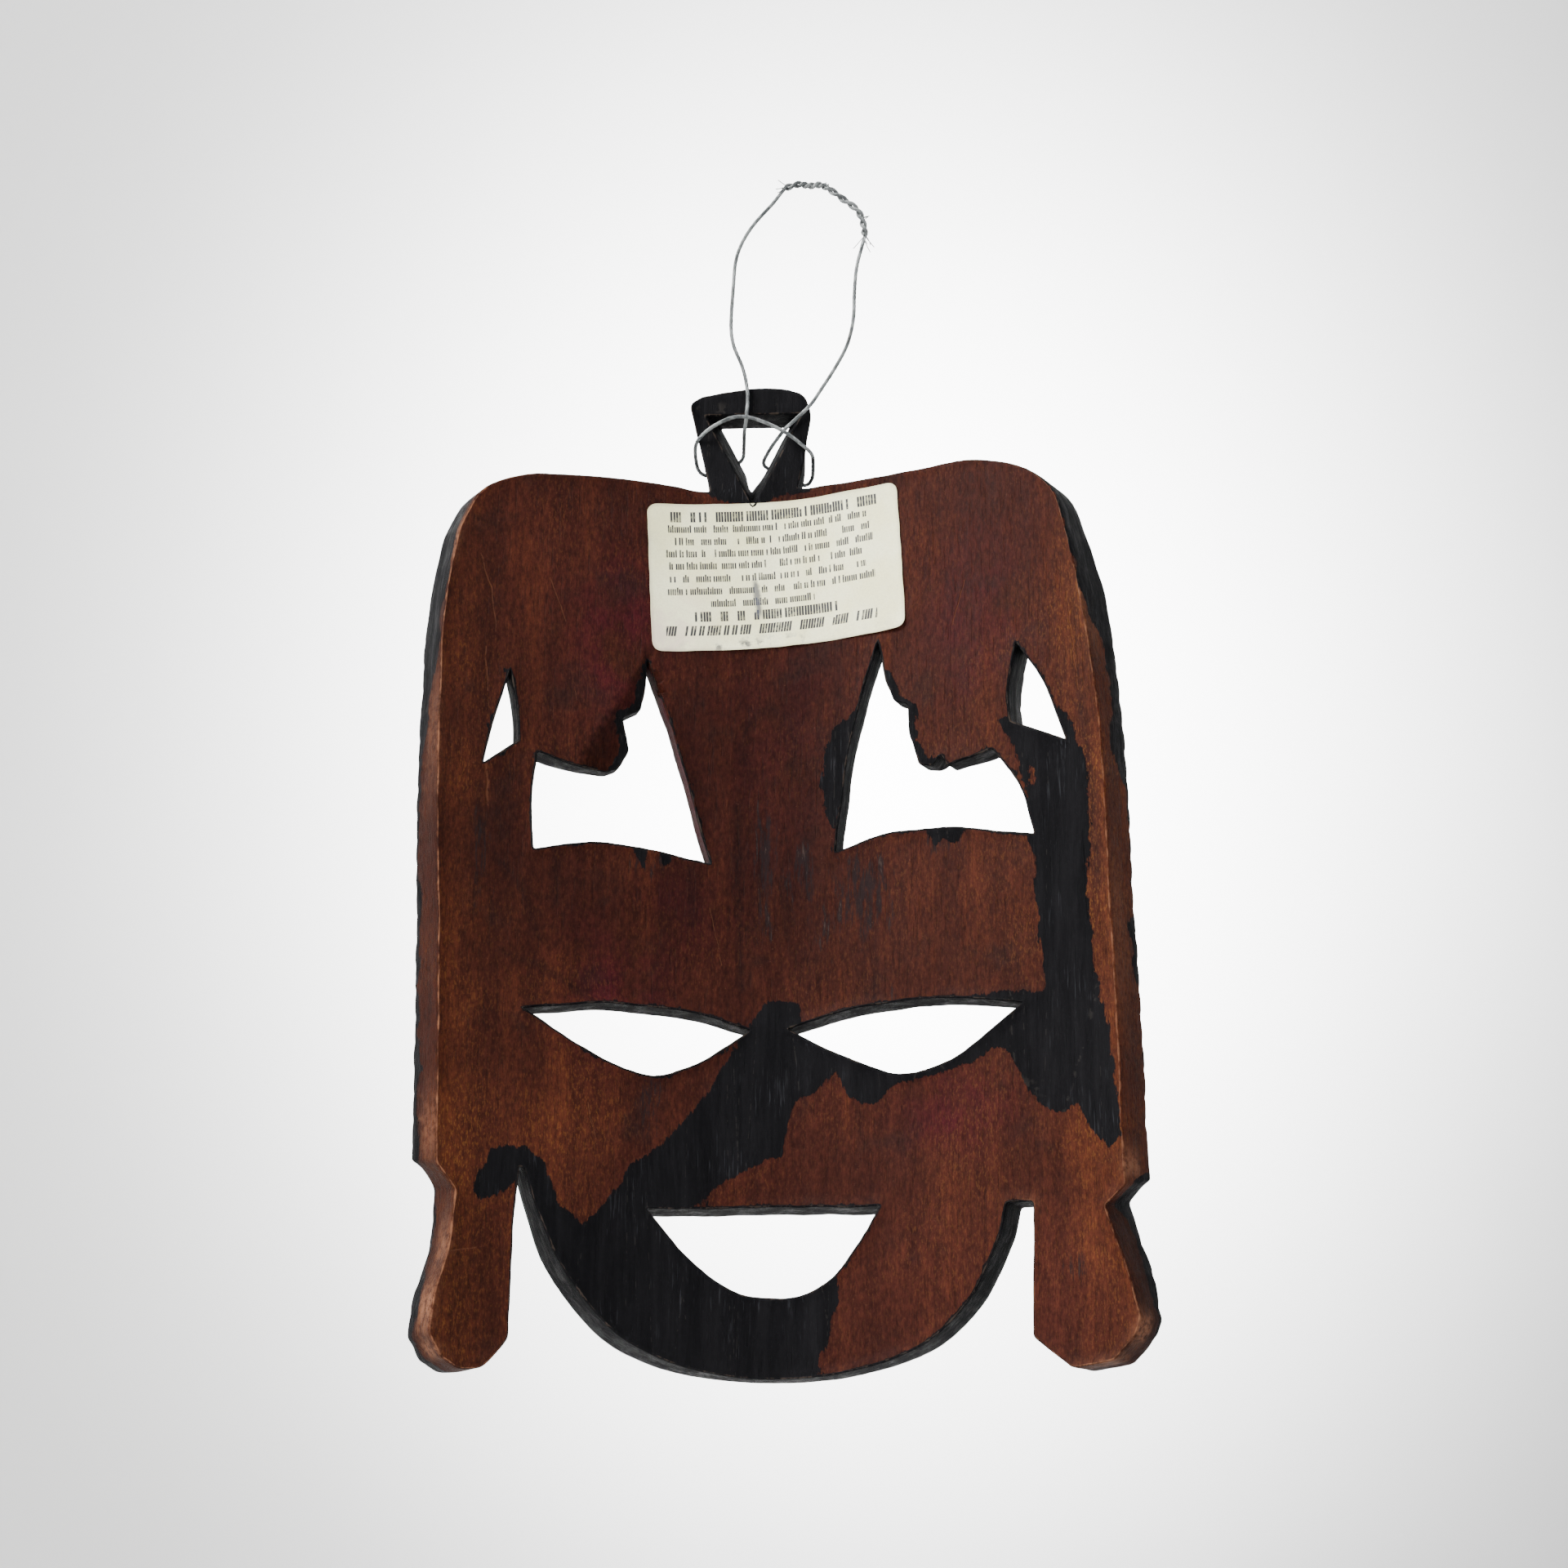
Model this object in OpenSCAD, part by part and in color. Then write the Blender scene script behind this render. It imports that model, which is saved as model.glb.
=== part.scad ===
// Carved wooden wall mask with a wire hanger and a paper label on its hollow back.
// Millimetres. +Z is up, the carved face looks to -Y and the hollow back to +Y.
// The origin is the nail's place: the inside of the top of the wire loop.

/* [Board] */
// Thickness of the carved board
board_thickness = 14; // [8:1:24]
// How tightly the hollow back turns along its middle
hollow_radius = 20; // [10:1:60]
// How steeply the hollow back rises towards its sides
hollow_slope = 0.47; // [0.2:0.01:0.7]
// Extra thickness of the carved bands, brows and lips
relief = 4; // [1:0.5:8]
// How far the nose stands out from the face
nose_height = 13; // [6:1:20]

/* [Topknot] */
// Depth of the topknot from its back to its front
topknot_depth = 14; // [10:1:20]
// Share of its hanging hole that is left at the face side
hole_taper = 0.7; // [0.5:0.05:1]

/* [Wire hanger] */
// Diameter of the wire
wire_diameter = 1.2; // [0.8:0.1:2]
// Turns in the twisted pair at the top of the loop
twist_turns = 6; // [2:1:9]
// Sides of the wire's cross-section
wire_sides = 8; // [8:1:12]

/* [Paper label] */
// Width of the label
label_width = 89; // [60:1:100]
// Height of the label
label_height = 54; // [40:1:70]
// Thickness of the label with its glue
label_thickness = 0.3; // [0.2:0.05:0.6]
// Tilt of the label on the board, in degrees
label_tilt = 6; // [0:1:10]

/* [Hidden] */
// The nail's place in the board's own frame, whose zero is the middle of its back
nail = [-5, 1.2, 235.2];
rim_y = 44;
front_y = -34;
label_gap = 0.05;

// ---- outlines on the back of the board: [x, z, how far a corner is rounded] ----
// "left" is the side at +X, which is on the left as one looks at the hollow back
board_outline = [
    [22, 115.5, 0], [60, 117, 12], [88, 115, 12], [100, 107, 8], [107, 93, 10],
    [113, 60, 20], [114, 10, 30], [111, -60, 30], [110, -130, 0.8], [104, -139.5, 1.5],
    [106, -158, 10], [110, -176, 8], [109, -187, 4], [102, -197.5, 3], [94, -197.5, 3],
    [86.5, -188, 2], [86, -150, 4], [84.5, -131, 0], [82, -132, 0], [79, -144, 5],
    [70, -165, 12], [52, -187, 12], [28, -197, 12], [0, -200, 14], [-28, -197, 12],
    [-50, -190, 12], [-66, -175, 12], [-76, -152, 6], [-77, -144, 1], [-86, -144, 1.5],
    [-85, -188, 1.5], [-96, -199, 1.5], [-112, -199, 3], [-119, -190, 4],
    [-120, -180, 8], [-113, -146, 1.5], [-119, -137, 0.8], [-117, -100, 20],
    [-115, -40, 30], [-114, 20, 30], [-107, 75, 16], [-100, 105, 8], [-88, 115, 8],
    [-70, 121.5, 10], [-38, 119.5, 12], [-7, 118, 0]
];
left_window = [
    [45, 51, 1], [34, 19, 16], [23, -22, 0.6], [42, -18, 6], [62, -16, 8],
    [82, -21, 0.8], [83, -8, 6], [82, 12, 0.8], [68, 10, 3], [54, 11, 1.5],
    [50.5, 18, 3], [53, 29, 1], [46.5, 33, 1.5], [45.5, 40, 3]
];
right_window = [
    [-36, 57, 1], [-26, 23, 16], [-20.5, -18, 0.6], [-38, -12.5, 6], [-60, -12.5, 8],
    [-89, -19, 0.8], [-85, -2, 6], [-76, 13, 0.8], [-62, 13, 3], [-49, 13.5, 1.5],
    [-46.5, 22, 3], [-46, 33, 1], [-40.5, 36, 1.5], [-39, 43, 3]
];
left_slot = [[91, 42, 0.5], [88, 27, 5], [88, 17, 0.5], [99, 8, 0.5], [96, 23, 6]];
right_slot = [[-84, 50, 0.5], [-93, 36, 8], [-100, 13, 0.5], [-82, 22, 0.5], [-81, 32, 6]];
left_eye = [[84, -77, 0.5], [60, -92, 10], [43, -98.5, 8], [28, -94, 8], [9, -80.5, 0.5],
    [29, -74.5, 10], [58, -73, 12]];
right_eye = [[-84, -77, 0.5], [-60, -95, 10], [-43, -99, 8], [-26, -92, 8], [-4, -80.5, 0.5],
    [-25, -74, 10], [-54, -72, 12]];
mouth = [[43, -143, 0.5], [28, -161, 9], [14, -171, 8], [-6, -173.5, 8], [-20, -166, 7],
    [-35, -142.5, 0.5], [4, -141.5, 10]];
topknot_outline = [[-7, 112, 0], [-9.5, 126.5, 4], [-12.8, 147, 3], [-10, 153.5, 3],
    [-2, 156, 4], [13, 155.5, 6], [30, 150.5, 2], [24, 118, 6], [23.5, 112, 0]];

// ---- raised carving on the face: outlines in the same frame ----
centre_panel = [[0, 108, 6], [13, 100, 6], [16, 60, 12], [9, 0, 10], [7, -62, 4],
    [-7, -62, 4], [-10, 0, 10], [-17, 60, 12], [-13, 100, 6]];
left_brow = [[92, -66, 3], [70, -50, 10], [34, -50, 10], [9, -64, 3], [11, -70, 3],
    [36, -59, 8], [66, -60, 8], [88, -72, 3]];
right_brow = [[-92, -66, 3], [-70, -50, 10], [-34, -50, 10], [-9, -64, 3], [-11, -70, 3],
    [-36, -59, 8], [-66, -60, 8], [-88, -72, 3]];
lips = [[53, -138, 3], [30, -133, 8], [3, -136, 6], [-24, -133, 8], [-45, -138, 3],
    [-30, -169, 9], [-8, -183, 8], [12, -182, 8], [36, -170, 9]];
nose = [[[-5, -66], [5, -66], 3], [[-13, -122], [13, -122], 1]];

module place() {
    translate(-nail) children();
}

// ---- curves ----
function unit(v) = v / norm(v);
function pick(list, i) = list[(i + len(list)) % len(list)];
function flat(p) = [p[0], p[1]];
// One corner of an outline, rounded by a curve that starts and ends "wanted" from it, or just
// under halfway along a shorter side
function corner(a, c, b, wanted) =
    wanted == 0 ? [c] :
    let (reach = min(wanted, 0.48 * norm(a - c), 0.48 * norm(b - c)),
         p = c + reach * unit(a - c), q = c + reach * unit(b - c), step = reach < 2 ? 0.5 : 0.25)
    [for (u = [0 : step : 1]) (1 - u) * (1 - u) * p + 2 * u * (1 - u) * c + u * u * q];
function rounded(o) = [
    for (i = [0 : len(o) - 1])
        each corner(flat(pick(o, i - 1)), flat(o[i]), flat(pick(o, i + 1)), o[i][2])
];
function spline_at(a, b, c, d, u) =
    0.5 * (2 * b + (c - a) * u + (2 * a - 5 * b + 4 * c - d) * u * u
        + (3 * b - a - 3 * c + d) * u * u * u);
// A smooth line through the points, with n steps to each stretch
function smooth(p, n) = [
    for (i = [0 : len(p) - 2]) for (k = [0 : n - 1])
        spline_at(p[max(i - 1, 0)], p[i], p[i + 1], p[min(i + 2, len(p) - 1)], k / n),
    p[len(p) - 1]
];

// ---- the hollow back and the parallel layers in front of it ----
function hollow(x) = sqrt(hollow_radius * hollow_radius + pow(hollow_slope * x, 2)) - hollow_radius;
function hollow_rise(x) = hollow_slope * hollow_slope * x / (hollow(x) + hollow_radius);
function layer_point(x, depth) =
    let (s = hollow_rise(x), n = sqrt(1 + s * s)) [x + depth * s / n, hollow(x) - depth / n];
sections = [for (x = [-138 : 6 : 138]) x];
// The layer between two depths under the back surface, over a height range
module layer(from, to, low, high) {
    back = [for (x = sections) layer_point(x, from)];
    face = [for (i = [len(sections) - 1 : -1 : 0]) layer_point(sections[i], to)];
    translate([0, 0, low]) linear_extrude(high - low) polygon(concat(back, face));
}
// An outline cut straight through the board, sized where it crosses the middle of the wood
function in_the_wood(p) = [layer_point(p[0], board_thickness / 2)[0], p[1]];
module through(outline) {
    translate([0, rim_y, 0]) rotate([90, 0, 0])
        linear_extrude(rim_y - front_y)
            polygon([for (p = rounded(outline)) in_the_wood(p)]);
}
module carved_band(outline, height) {
    intersection() {
        layer(board_thickness - 2, board_thickness + height, -210, 130);
        through(outline);
    }
}

// ---- board ----
module nose_ridge() {
    y0 = -board_thickness;
    polyhedron(
        points = [
            [-5, y0 + 2, -64], [5, y0 + 2, -64], [-13, y0 + 2, -124], [13, y0 + 2, -124],
            [-2, y0 - relief, -62], [2, y0 - relief, -62],
            [-4, y0 - nose_height, -118], [4, y0 - nose_height, -118],
            [-8, y0 - 5, -123], [8, y0 - 5, -123]
        ],
        faces = [
            [0, 2, 3, 1], [0, 1, 5, 4], [4, 5, 7, 6], [0, 4, 6], [0, 6, 8], [0, 8, 2],
            [1, 3, 9], [1, 9, 7], [1, 7, 5], [6, 7, 9, 8], [2, 8, 9, 3]
        ]
    );
}
module topknot() {
    rotate([90, 0, 0]) linear_extrude(topknot_depth) polygon(rounded(topknot_outline));
}
// A three-sided funnel, wider at the back
module hanging_hole() {
    // from 4 mm behind the back to 2 mm past the front
    far = (topknot_depth + 2 + 4) / topknot_depth * (1 - hole_taper);
    translate([8.5, 4, 147]) rotate([90, 0, 0])
        linear_extrude(topknot_depth + 6, scale = (1.09 - far) / 1.09)
            polygon([[-19, 0], [19, 0], [0, -38.5]]);
}
module mask_board() {
    color([0.36, 0.18, 0.1]) place() difference() {
        union() {
            intersection() {
                layer(0, board_thickness, -210, 130);
                through(board_outline);
            }
            topknot();
            carved_band(centre_panel, relief);
            carved_band(left_brow, relief);
            carved_band(right_brow, relief);
            carved_band(lips, relief + 1);
            nose_ridge();
        }
        through(left_window);
        through(right_window);
        through(left_slot);
        through(right_slot);
        through(left_eye);
        through(right_eye);
        through(mouth);
        hanging_hole();
    }
}

// ---- wire ----
twist_line = [[-32.5, 1.2, 216.5], [-32, 1.2, 221], [-30, 1.2, 226.5], [-25, 1.2, 231],
    [-19.5, 1.2, 235.5], [-16, 1.2, 237.3], [-12, 1.2, 237], [-8.5, 1.2, 237.8], [-3.5, 1.2, 236.5]];
// Round the left leg, across the back and round the right leg, from one end of the twist
// to the other
loop_line = [
    [1.5, 1.2, 230], [9.5, 1.8, 220], [14.5, 2.2, 209], [15.8, 2.4, 196], [16.6, 2.2, 181],
    [15.5, 1.8, 173], [12.4, 1.5, 165], [10.7, 1.3, 157], [10.5, 1.2, 151], [10.8, 1.2, 147],
    [11.2, -0.5, 144.3], [12, -4, 141.5], [12.5, -10, 138.5], [13.2, -15.2, 136],
    [16, -16.4, 133.8], [21, -16.4, 131], [26, -15.6, 129.5], [29, -12, 130],
    [29.8, -6, 132.5], [29.2, -0.3, 136.1], [25.4, 2.5, 139.6], [20.5, 2.8, 142.8],
    [15.5, 2.9, 144.8], [10.5, 2.9, 144.8], [5, 2.8, 143], [0, 2.7, 140.6],
    [-4.5, 3.1, 137.6], [-8.7, 3.2, 134], [-12.7, 0.8, 130.8], [-13, -5, 127.8],
    [-12.2, -11, 125.6], [-9.5, -15.8, 125.2], [-4, -16.4, 127.6], [1, -16.3, 130.6],
    [5.6, -15.2, 133.4], [3.4, -9, 136], [0.4, -3.5, 138], [-3, 0.6, 140.6],
    [-7, 1.3, 144.2], [-12.3, 1.3, 149.6], [-16.5, 1.4, 156], [-21.5, 1.8, 164],
    [-26, 2.2, 173], [-28.2, 2.4, 183], [-28.6, 2.2, 193], [-29.4, 1.8, 203], [-31.2, 1.3, 211]
];
twist_steps = 6;
twist_centre = smooth(twist_line, twist_steps);
function tangent(p, i) = unit(p[min(i + 1, len(p) - 1)] - p[max(i - 1, 0)]);
// One strand of the twisted pair, at the given phase
function strand(phase) = [
    for (i = [0 : len(twist_centre) - 1])
        let (t = tangent(twist_centre, i), n = unit(cross(t, [0, 1, 0])),
             a = phase + 360 * twist_turns * i / (len(twist_centre) - 1))
        twist_centre[i] + 0.65 * wire_diameter * (cos(a) * n + sin(a) * [0, 1, 0])
];
wire_line = concat(strand(90), smooth(loop_line, 2), strand(270));
module tube(line, diameter, sides) {
    count = len(line);
    first = unit(cross(tangent(line, 0), [0, 1, 0.3]));
    normals = [for (i = 0, n = first; i < count;
        i = i + 1, n = i < count ? unit(n - (n * tangent(line, i)) * tangent(line, i)) : n) n];
    points = [for (i = [0 : count - 1]) for (k = [0 : sides - 1])
        let (t = tangent(line, i), n = normals[i], a = 360 * k / sides)
        line[i] + diameter / 2 * (cos(a) * n + sin(a) * cross(t, n))];
    walls = [for (i = [0 : count - 2]) for (k = [0 : sides - 1])
        let (a = i * sides + k, b = i * sides + (k + 1) % sides)
        each [[a, a + sides, b + sides], [a, b + sides, b]]];
    start = [[for (k = [0 : sides - 1]) k]];
    end = [[for (k = [sides - 1 : -1 : 0]) (count - 1) * sides + k]];
    polyhedron(points = points, faces = concat(walls, start, end));
}
module hanger_wire() {
    color([0.62, 0.63, 0.64]) place() tube(wire_line, wire_diameter, wire_sides);
}

// ---- label ----
module paper_label() {
    color([0.93, 0.9, 0.8]) place() intersection() {
        layer(-label_gap - label_thickness, -label_gap, 40, 140);
        translate([-0.5, 30, 86]) rotate([90, label_tilt, 0])
            linear_extrude(60) offset(r = 3) square([label_width - 8.5, label_height - 6], center = true);
    }
}

mask_board();
hanger_wire();
paper_label();
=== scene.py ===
"""Carved wooden wall mask, seen from its hollow back: the board with its topknot and ear
pendants, the stranded wire hanger and the paper label, with the painted carving on the face."""
import math
import random
from types import SimpleNamespace

import bpy
import numpy as np
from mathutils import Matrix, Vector, kdtree, noise
from mathutils.geometry import delaunay_2d_cdt


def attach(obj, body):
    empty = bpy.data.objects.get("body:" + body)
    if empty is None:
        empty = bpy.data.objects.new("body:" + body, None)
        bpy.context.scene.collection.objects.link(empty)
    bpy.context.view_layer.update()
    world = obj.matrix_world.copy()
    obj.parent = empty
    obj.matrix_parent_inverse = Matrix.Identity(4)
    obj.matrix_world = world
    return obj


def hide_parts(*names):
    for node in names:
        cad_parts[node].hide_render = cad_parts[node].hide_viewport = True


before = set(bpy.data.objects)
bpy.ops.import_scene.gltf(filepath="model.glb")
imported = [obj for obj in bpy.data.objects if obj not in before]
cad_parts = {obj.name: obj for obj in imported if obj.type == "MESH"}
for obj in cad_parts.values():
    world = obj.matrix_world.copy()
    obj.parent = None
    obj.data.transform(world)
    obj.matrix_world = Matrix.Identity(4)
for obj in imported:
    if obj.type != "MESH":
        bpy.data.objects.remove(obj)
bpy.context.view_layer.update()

MM = 0.001
# The nail's place in the board's own frame (mm), which is the origin of the model
NAIL = np.array((-5.0, 1.2, 235.2))
THICKNESS = 14.0
# The hollow back is a hyperbola across the board: its radius at the middle and its slope at the rims
HOLLOW_RADIUS, HOLLOW_SLOPE = 20.0, 0.47

# ---------------------------------------------------------------- outlines of the board (mm)
# [x, z, how far a corner is rounded]; +x is on the left as one looks at the hollow back
BOARD = [
    (23.8, 116.8, 1.2), (62, 118.6, 12), (88, 116, 12), (101.5, 109, 6), (108.6, 95, 8),
    (113.4, 66, 14), (114.4, 10, 30), (111.6, -60, 30), (110.6, -131, 1.2), (104, -140, 1.0),
    (105.6, -158, 8), (110.3, -176, 4), (111.2, -187.5, 1.0), (107.6, -194.4, 1.0),
    (101.5, -198.4, 1.5), (94, -197.8, 3), (86.5, -188, 2), (85.6, -150, 4), (84.2, -131, 0.4),
    (82.6, -131.5, 0.4), (79, -144, 5), (70, -165, 12), (52, -187, 12), (28, -197, 12),
    (0, -200, 14), (-28, -197, 12), (-50, -190, 12), (-66, -175, 12), (-76, -152, 6),
    (-77.4, -144, 1), (-86, -144, 1.5), (-85, -188, 1.5), (-97.5, -199.2, 1.5),
    (-110.5, -197.2, 1.5), (-117.6, -189.8, 2.5), (-119.6, -183.5, 1.5), (-116.5, -171, 6),
    (-110.4, -151, 4), (-109.2, -147, 0.8), (-115.7, -141, 1.0), (-115.2, -100, 20),
    (-113.5, -40, 30), (-112.2, 20, 30), (-105.2, 75, 16), (-98.8, 104.6, 9), (-88, 115.4, 9),
    (-70, 121.5, 10), (-38, 119.5, 12), (-7.5, 118, 1.2),
    (-9.5, 126.5, 4), (-12.9, 147, 3), (-10.5, 154.4, 3.5), (-2, 157.4, 5), (14, 157.0, 7),
    (28, 154.2, 3), (31.6, 150.6, 2.2), (26.2, 127, 6)]
# How far the face side stands out past the back edge on each outer side (z, mm)
LEFT_FLARE = [(-200, 3.4), (-176, 3.6), (-150, 3.0), (-130, 4.8), (-60, 4.4), (0, 3.6), (60, 2.4),
              (112, 2.4)]
RIGHT_FLARE = [(-200, 1.2), (-186, 1.8), (-171, 3.3), (-140, 3.6), (-100, 3.6), (-30, 3.3), (20, 3.6),
               (67, 4.6), (95, 2.4), (118, 1.0)]
# Depth of black paint on the right outer wall, from the face edge (z, mm)
RIGHT_WALL_PAINT = [
    (-200, 1), (-188, 1.5), (-180, 3.5), (-152, 4), (-147, 10), (-140, 9), (-136, 0.3), (-75, 0.4),
    (-68, 3.5), (-52, 4), (-46, 0.4), (-20, 0.8), (-5, 1.5), (5, 7), (14, 9), (22, 6), (35, 5),
    (48, 6), (58, 11), (72, 14), (130, 14)]
# The middle of the topknot, and the half width of the wood between the two ear pendants
KNOT_X, CHIN_HALF = 8.5, 84
LEFT_WINDOW = [
    (45, 51, 1), (34, 19, 16), (23, -22, 0.6), (42, -18, 6), (62, -16, 8),
    (82, -21, 0.8), (83, -8, 6), (81.5, 13.5, 0.8), (69, 9.5, 3), (58, 9, 1.5), (53, 11.5, 1.6),
    (50, 18, 1.4), (51, 22, 1.2), (53, 29, 0.7), (46.5, 33, 0.7), (45.5, 40, 2)]
RIGHT_WINDOW = [
    (-36, 57, 1), (-26, 23, 16), (-20.5, -18, 0.6), (-38, -12.5, 6), (-60, -12.5, 8),
    (-89, -19, 0.8), (-85, -2, 6), (-75.5, 13, 1.5), (-60, 8.5, 1.4), (-57.5, 13, 1.4), (-55, 9.5, 1.4),
    (-50, 10.5, 1), (-46.8, 22, 2), (-46.4, 33, 0.8), (-41.5, 34.5, 0.8), (-38.5, 43, 2)]
LEFT_SLOT = [(91, 42, 0.5), (88, 27, 5), (88, 17, 0.5), (99, 8, 0.5), (96, 23, 6)]
RIGHT_SLOT = [(-84, 50, 0.5), (-93, 36, 8), (-100, 13, 0.5), (-82, 22, 0.5), (-81, 32, 6)]
LEFT_EYE = [(84, -77, 0.5), (60, -92, 10), (43, -98.5, 8), (28, -94, 8), (9, -80.5, 0.5),
            (29, -74.5, 10), (58, -73, 12)]
RIGHT_EYE = [(-84, -77, 0.5), (-60, -95, 10), (-43, -99, 8), (-26, -92, 8), (-4, -80.5, 0.5),
             (-25, -74, 10), (-54, -72, 12)]
MOUTH = [(43, -143, 0.5), (28, -161, 9), (14, -171, 8), (-6, -173.5, 8), (-20, -166, 7),
         (-35, -142.5, 0.5), (4, -141.5, 10)]
# The topknot's hole is a funnel: this is its back edge, and its front edge is smaller
HOLE_TOP, HOLE_TAPER = np.array((8.5, 147.0)), 0.7
HANGING_HOLE = [(-9, 147, 0.8), (8.5, 111.5, 0.8), (26, 147, 0.8)]

# Black paint that ran onto the back, as patches (mm)
PAINT_PATCHES = [
    # the long run from between the eyes down to the chin and the left ear
    [(3, -70), (-8, -71), (-10, -80), (-14, -92), (-13, -103), (-6, -106), (-4, -114),
     (-2, -124), (4, -126), (12, -130), (21, -136), (27, -142), (25, -150), (8, -160),
     (-10, -162), (-21, -158), (-21, -175), (-18, -179), (-17, -189), (-14, -192), (-14, -204),
     (40, -204), (70, -185), (82, -160), (85, -135), (91, -141), (96, -143), (98, -140),
     (98, -134), (94, -130), (94, -126), (91, -124), (82, -124), (76, -130), (73, -138),
     (70, -144), (64, -149), (58, -143), (53, -137), (49, -129), (43, -125), (34, -116),
     (24, -104), (17, -92), (10, -81), (7, -76)],
    # under the right eye
    [(-2, -84), (-6, -106), (-14, -102), (-18, -97), (-20, -96), (-22, -99), (-24, -104),
     (-31, -108), (-35, -107), (-40, -101), (-47, -100.5), (-58, -98), (-66, -96), (-73, -92),
     (-76, -91), (-80, -94), (-82, -101), (-85, -107), (-90, -113), (-96, -100), (-92, -74),
     (-78, -72)],
    # the band down the right side
    [(-78, 23), (-83, 12), (-88, -13), (-86, -20), (-89, -28), (-89, -42), (-90, -57),
     (-91, -68), (-91, -74), (-78, -72), (-84, -80), (-90, -113), (-96, -116), (-101, -112),
     (-105, -121), (-108, -126), (-110, -128), (-113, -127), (-115, -124), (-113, -100),
     (-112, -89), (-110, -80), (-108, -66), (-107, -51), (-106, -41), (-107, -19),
     (-107, 4), (-104, 11), (-102, 19), (-98, 25)],
    # beside the right window
    [(-35, 50), (-32, 39), (-27, 32), (-20, 27), (-17, 19), (-16, 8), (-17, -5), (-20, -10),
     (-26, 10)],
    # the topknot and the groove under its hole
    [(24, 115), (20, 113), (13, 112.5), (9, 110), (7.5, 108), (5, 111), (2, 114), (-8, 117),
     (-30, 140), (0, 170), (50, 160)],
    # thin dribbles under the windows
    [(44, -17), (48, -17), (47, -22), (45, -26)], [(35, -18), (41, -18), (39, -24), (36.5, -23)],
    [(-52, -12), (-66, -13), (-62, -20), (-58, -17), (-55, -19)]]
# Where the board is bare inside a patch
BARE_CHIPS = [[(-88, 5), (-87.2, -1), (-89.4, -2), (-89.6, 3)]]


def place(points):
    """Board millimetres to model metres."""
    return (np.asarray(points, float) - NAIL) * MM


# ---------------------------------------------------------------- camera
# The view of the hollow back from a little below and a little to its right
CAMERA_PITCH, CAMERA_TURN = math.radians(16), math.radians(3)
CAMERA_DISTANCE, VIEW_WIDTH, SENSOR = 1100.0, 537.6, 36.0
CAMERA_AIM = np.array((-4.0, 25.0, 0.0))


def link(name, data):
    """A new object in the scene."""
    obj = bpy.data.objects.new(name, data)
    bpy.context.scene.collection.objects.link(obj)
    return obj


def camera():
    level = math.cos(CAMERA_PITCH)
    toward = np.array((-math.sin(CAMERA_TURN) * level, math.cos(CAMERA_TURN) * level,
                       -math.sin(CAMERA_PITCH)))
    data = bpy.data.cameras.new("camera")
    data.sensor_width = SENSOR
    data.lens = SENSOR * CAMERA_DISTANCE / VIEW_WIDTH
    data.clip_start, data.clip_end = 0.05, 30.0
    obj = link("camera", data)
    obj.location = place(CAMERA_AIM + CAMERA_DISTANCE * toward)
    obj.rotation_euler = Vector(-toward).to_track_quat("-Z", "Y").to_euler()
    bpy.context.scene.camera = obj


camera()


# ---------------------------------------------------------------- outlines and distances
def unit(v):
    return v / max(np.linalg.norm(v), 1e-9)


def rounded(outline, steps=6):
    """The outline with each corner turned into a curve."""
    points, count = [], len(outline)
    for i, (x, z, wanted) in enumerate(outline):
        before, after = (np.array(outline[k % count][:2], float) for k in (i - 1, i + 1))
        corner = np.array((x, z), float)
        reach = min(wanted, 0.48 * np.linalg.norm(before - corner),
                    0.48 * np.linalg.norm(after - corner))
        start, end = corner + reach * unit(before - corner), corner + reach * unit(after - corner)
        for u in np.linspace(0, 1, steps if reach > 1.2 else 3):
            points.append((1 - u) ** 2 * start + 2 * u * (1 - u) * corner + u * u * end)
    return np.array(points)


def spaced(points, spacing):
    """The closed line with its long sides divided, corners kept."""
    out = []
    for a, b in zip(points, np.roll(points, -1, 0)):
        length = np.linalg.norm(b - a)
        if length < 1e-6:
            continue
        n = max(1, int(round(length / spacing)))
        out += [a + (b - a) * k / n for k in range(n)]
    return np.array(out)


def spaced_open(points, spacing):
    """The open line with its long sides divided."""
    out = []
    for a, b in zip(points[:-1], points[1:]):
        a, b = np.array(a, float), np.array(b, float)
        n = max(1, int(round(np.linalg.norm(b - a) / spacing)))
        out += [a + (b - a) * k / n for k in range(n)]
    return out + [np.array(points[-1], float)]


def noise_2d(points, scale, seed):
    """Smooth noise between about -1 and 1 at 2-D points, with features of the given size."""
    return 1.8 * np.array([noise.noise(Vector((p[0] / scale, seed * 7.31, p[1] / scale)))
                           for p in points])


def wobbled(points, amount, size, seed):
    """A cut line that wanders as a hand-held blade does."""
    dx, dz = noise_2d(points, size, seed), noise_2d(points, size, seed + 5)
    fx, fz = noise_2d(points, size * 0.22, seed + 9), noise_2d(points, size * 0.22, seed + 13)
    return points + amount * np.stack([dx + 0.25 * fx, dz + 0.25 * fz], 1)


def inside(points, loop):
    """Which points lie inside a closed loop."""
    x, z = points[:, 0], points[:, 1]
    hit = np.zeros(len(points), bool)
    for (x0, z0), (x1, z1) in zip(loop, np.roll(loop, -1, 0)):
        if z0 == z1:
            continue
        crosses = (z0 > z) != (z1 > z)
        hit ^= crosses & (x < (x1 - x0) * (z - z0) / (z1 - z0) + x0)
    return hit


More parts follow.
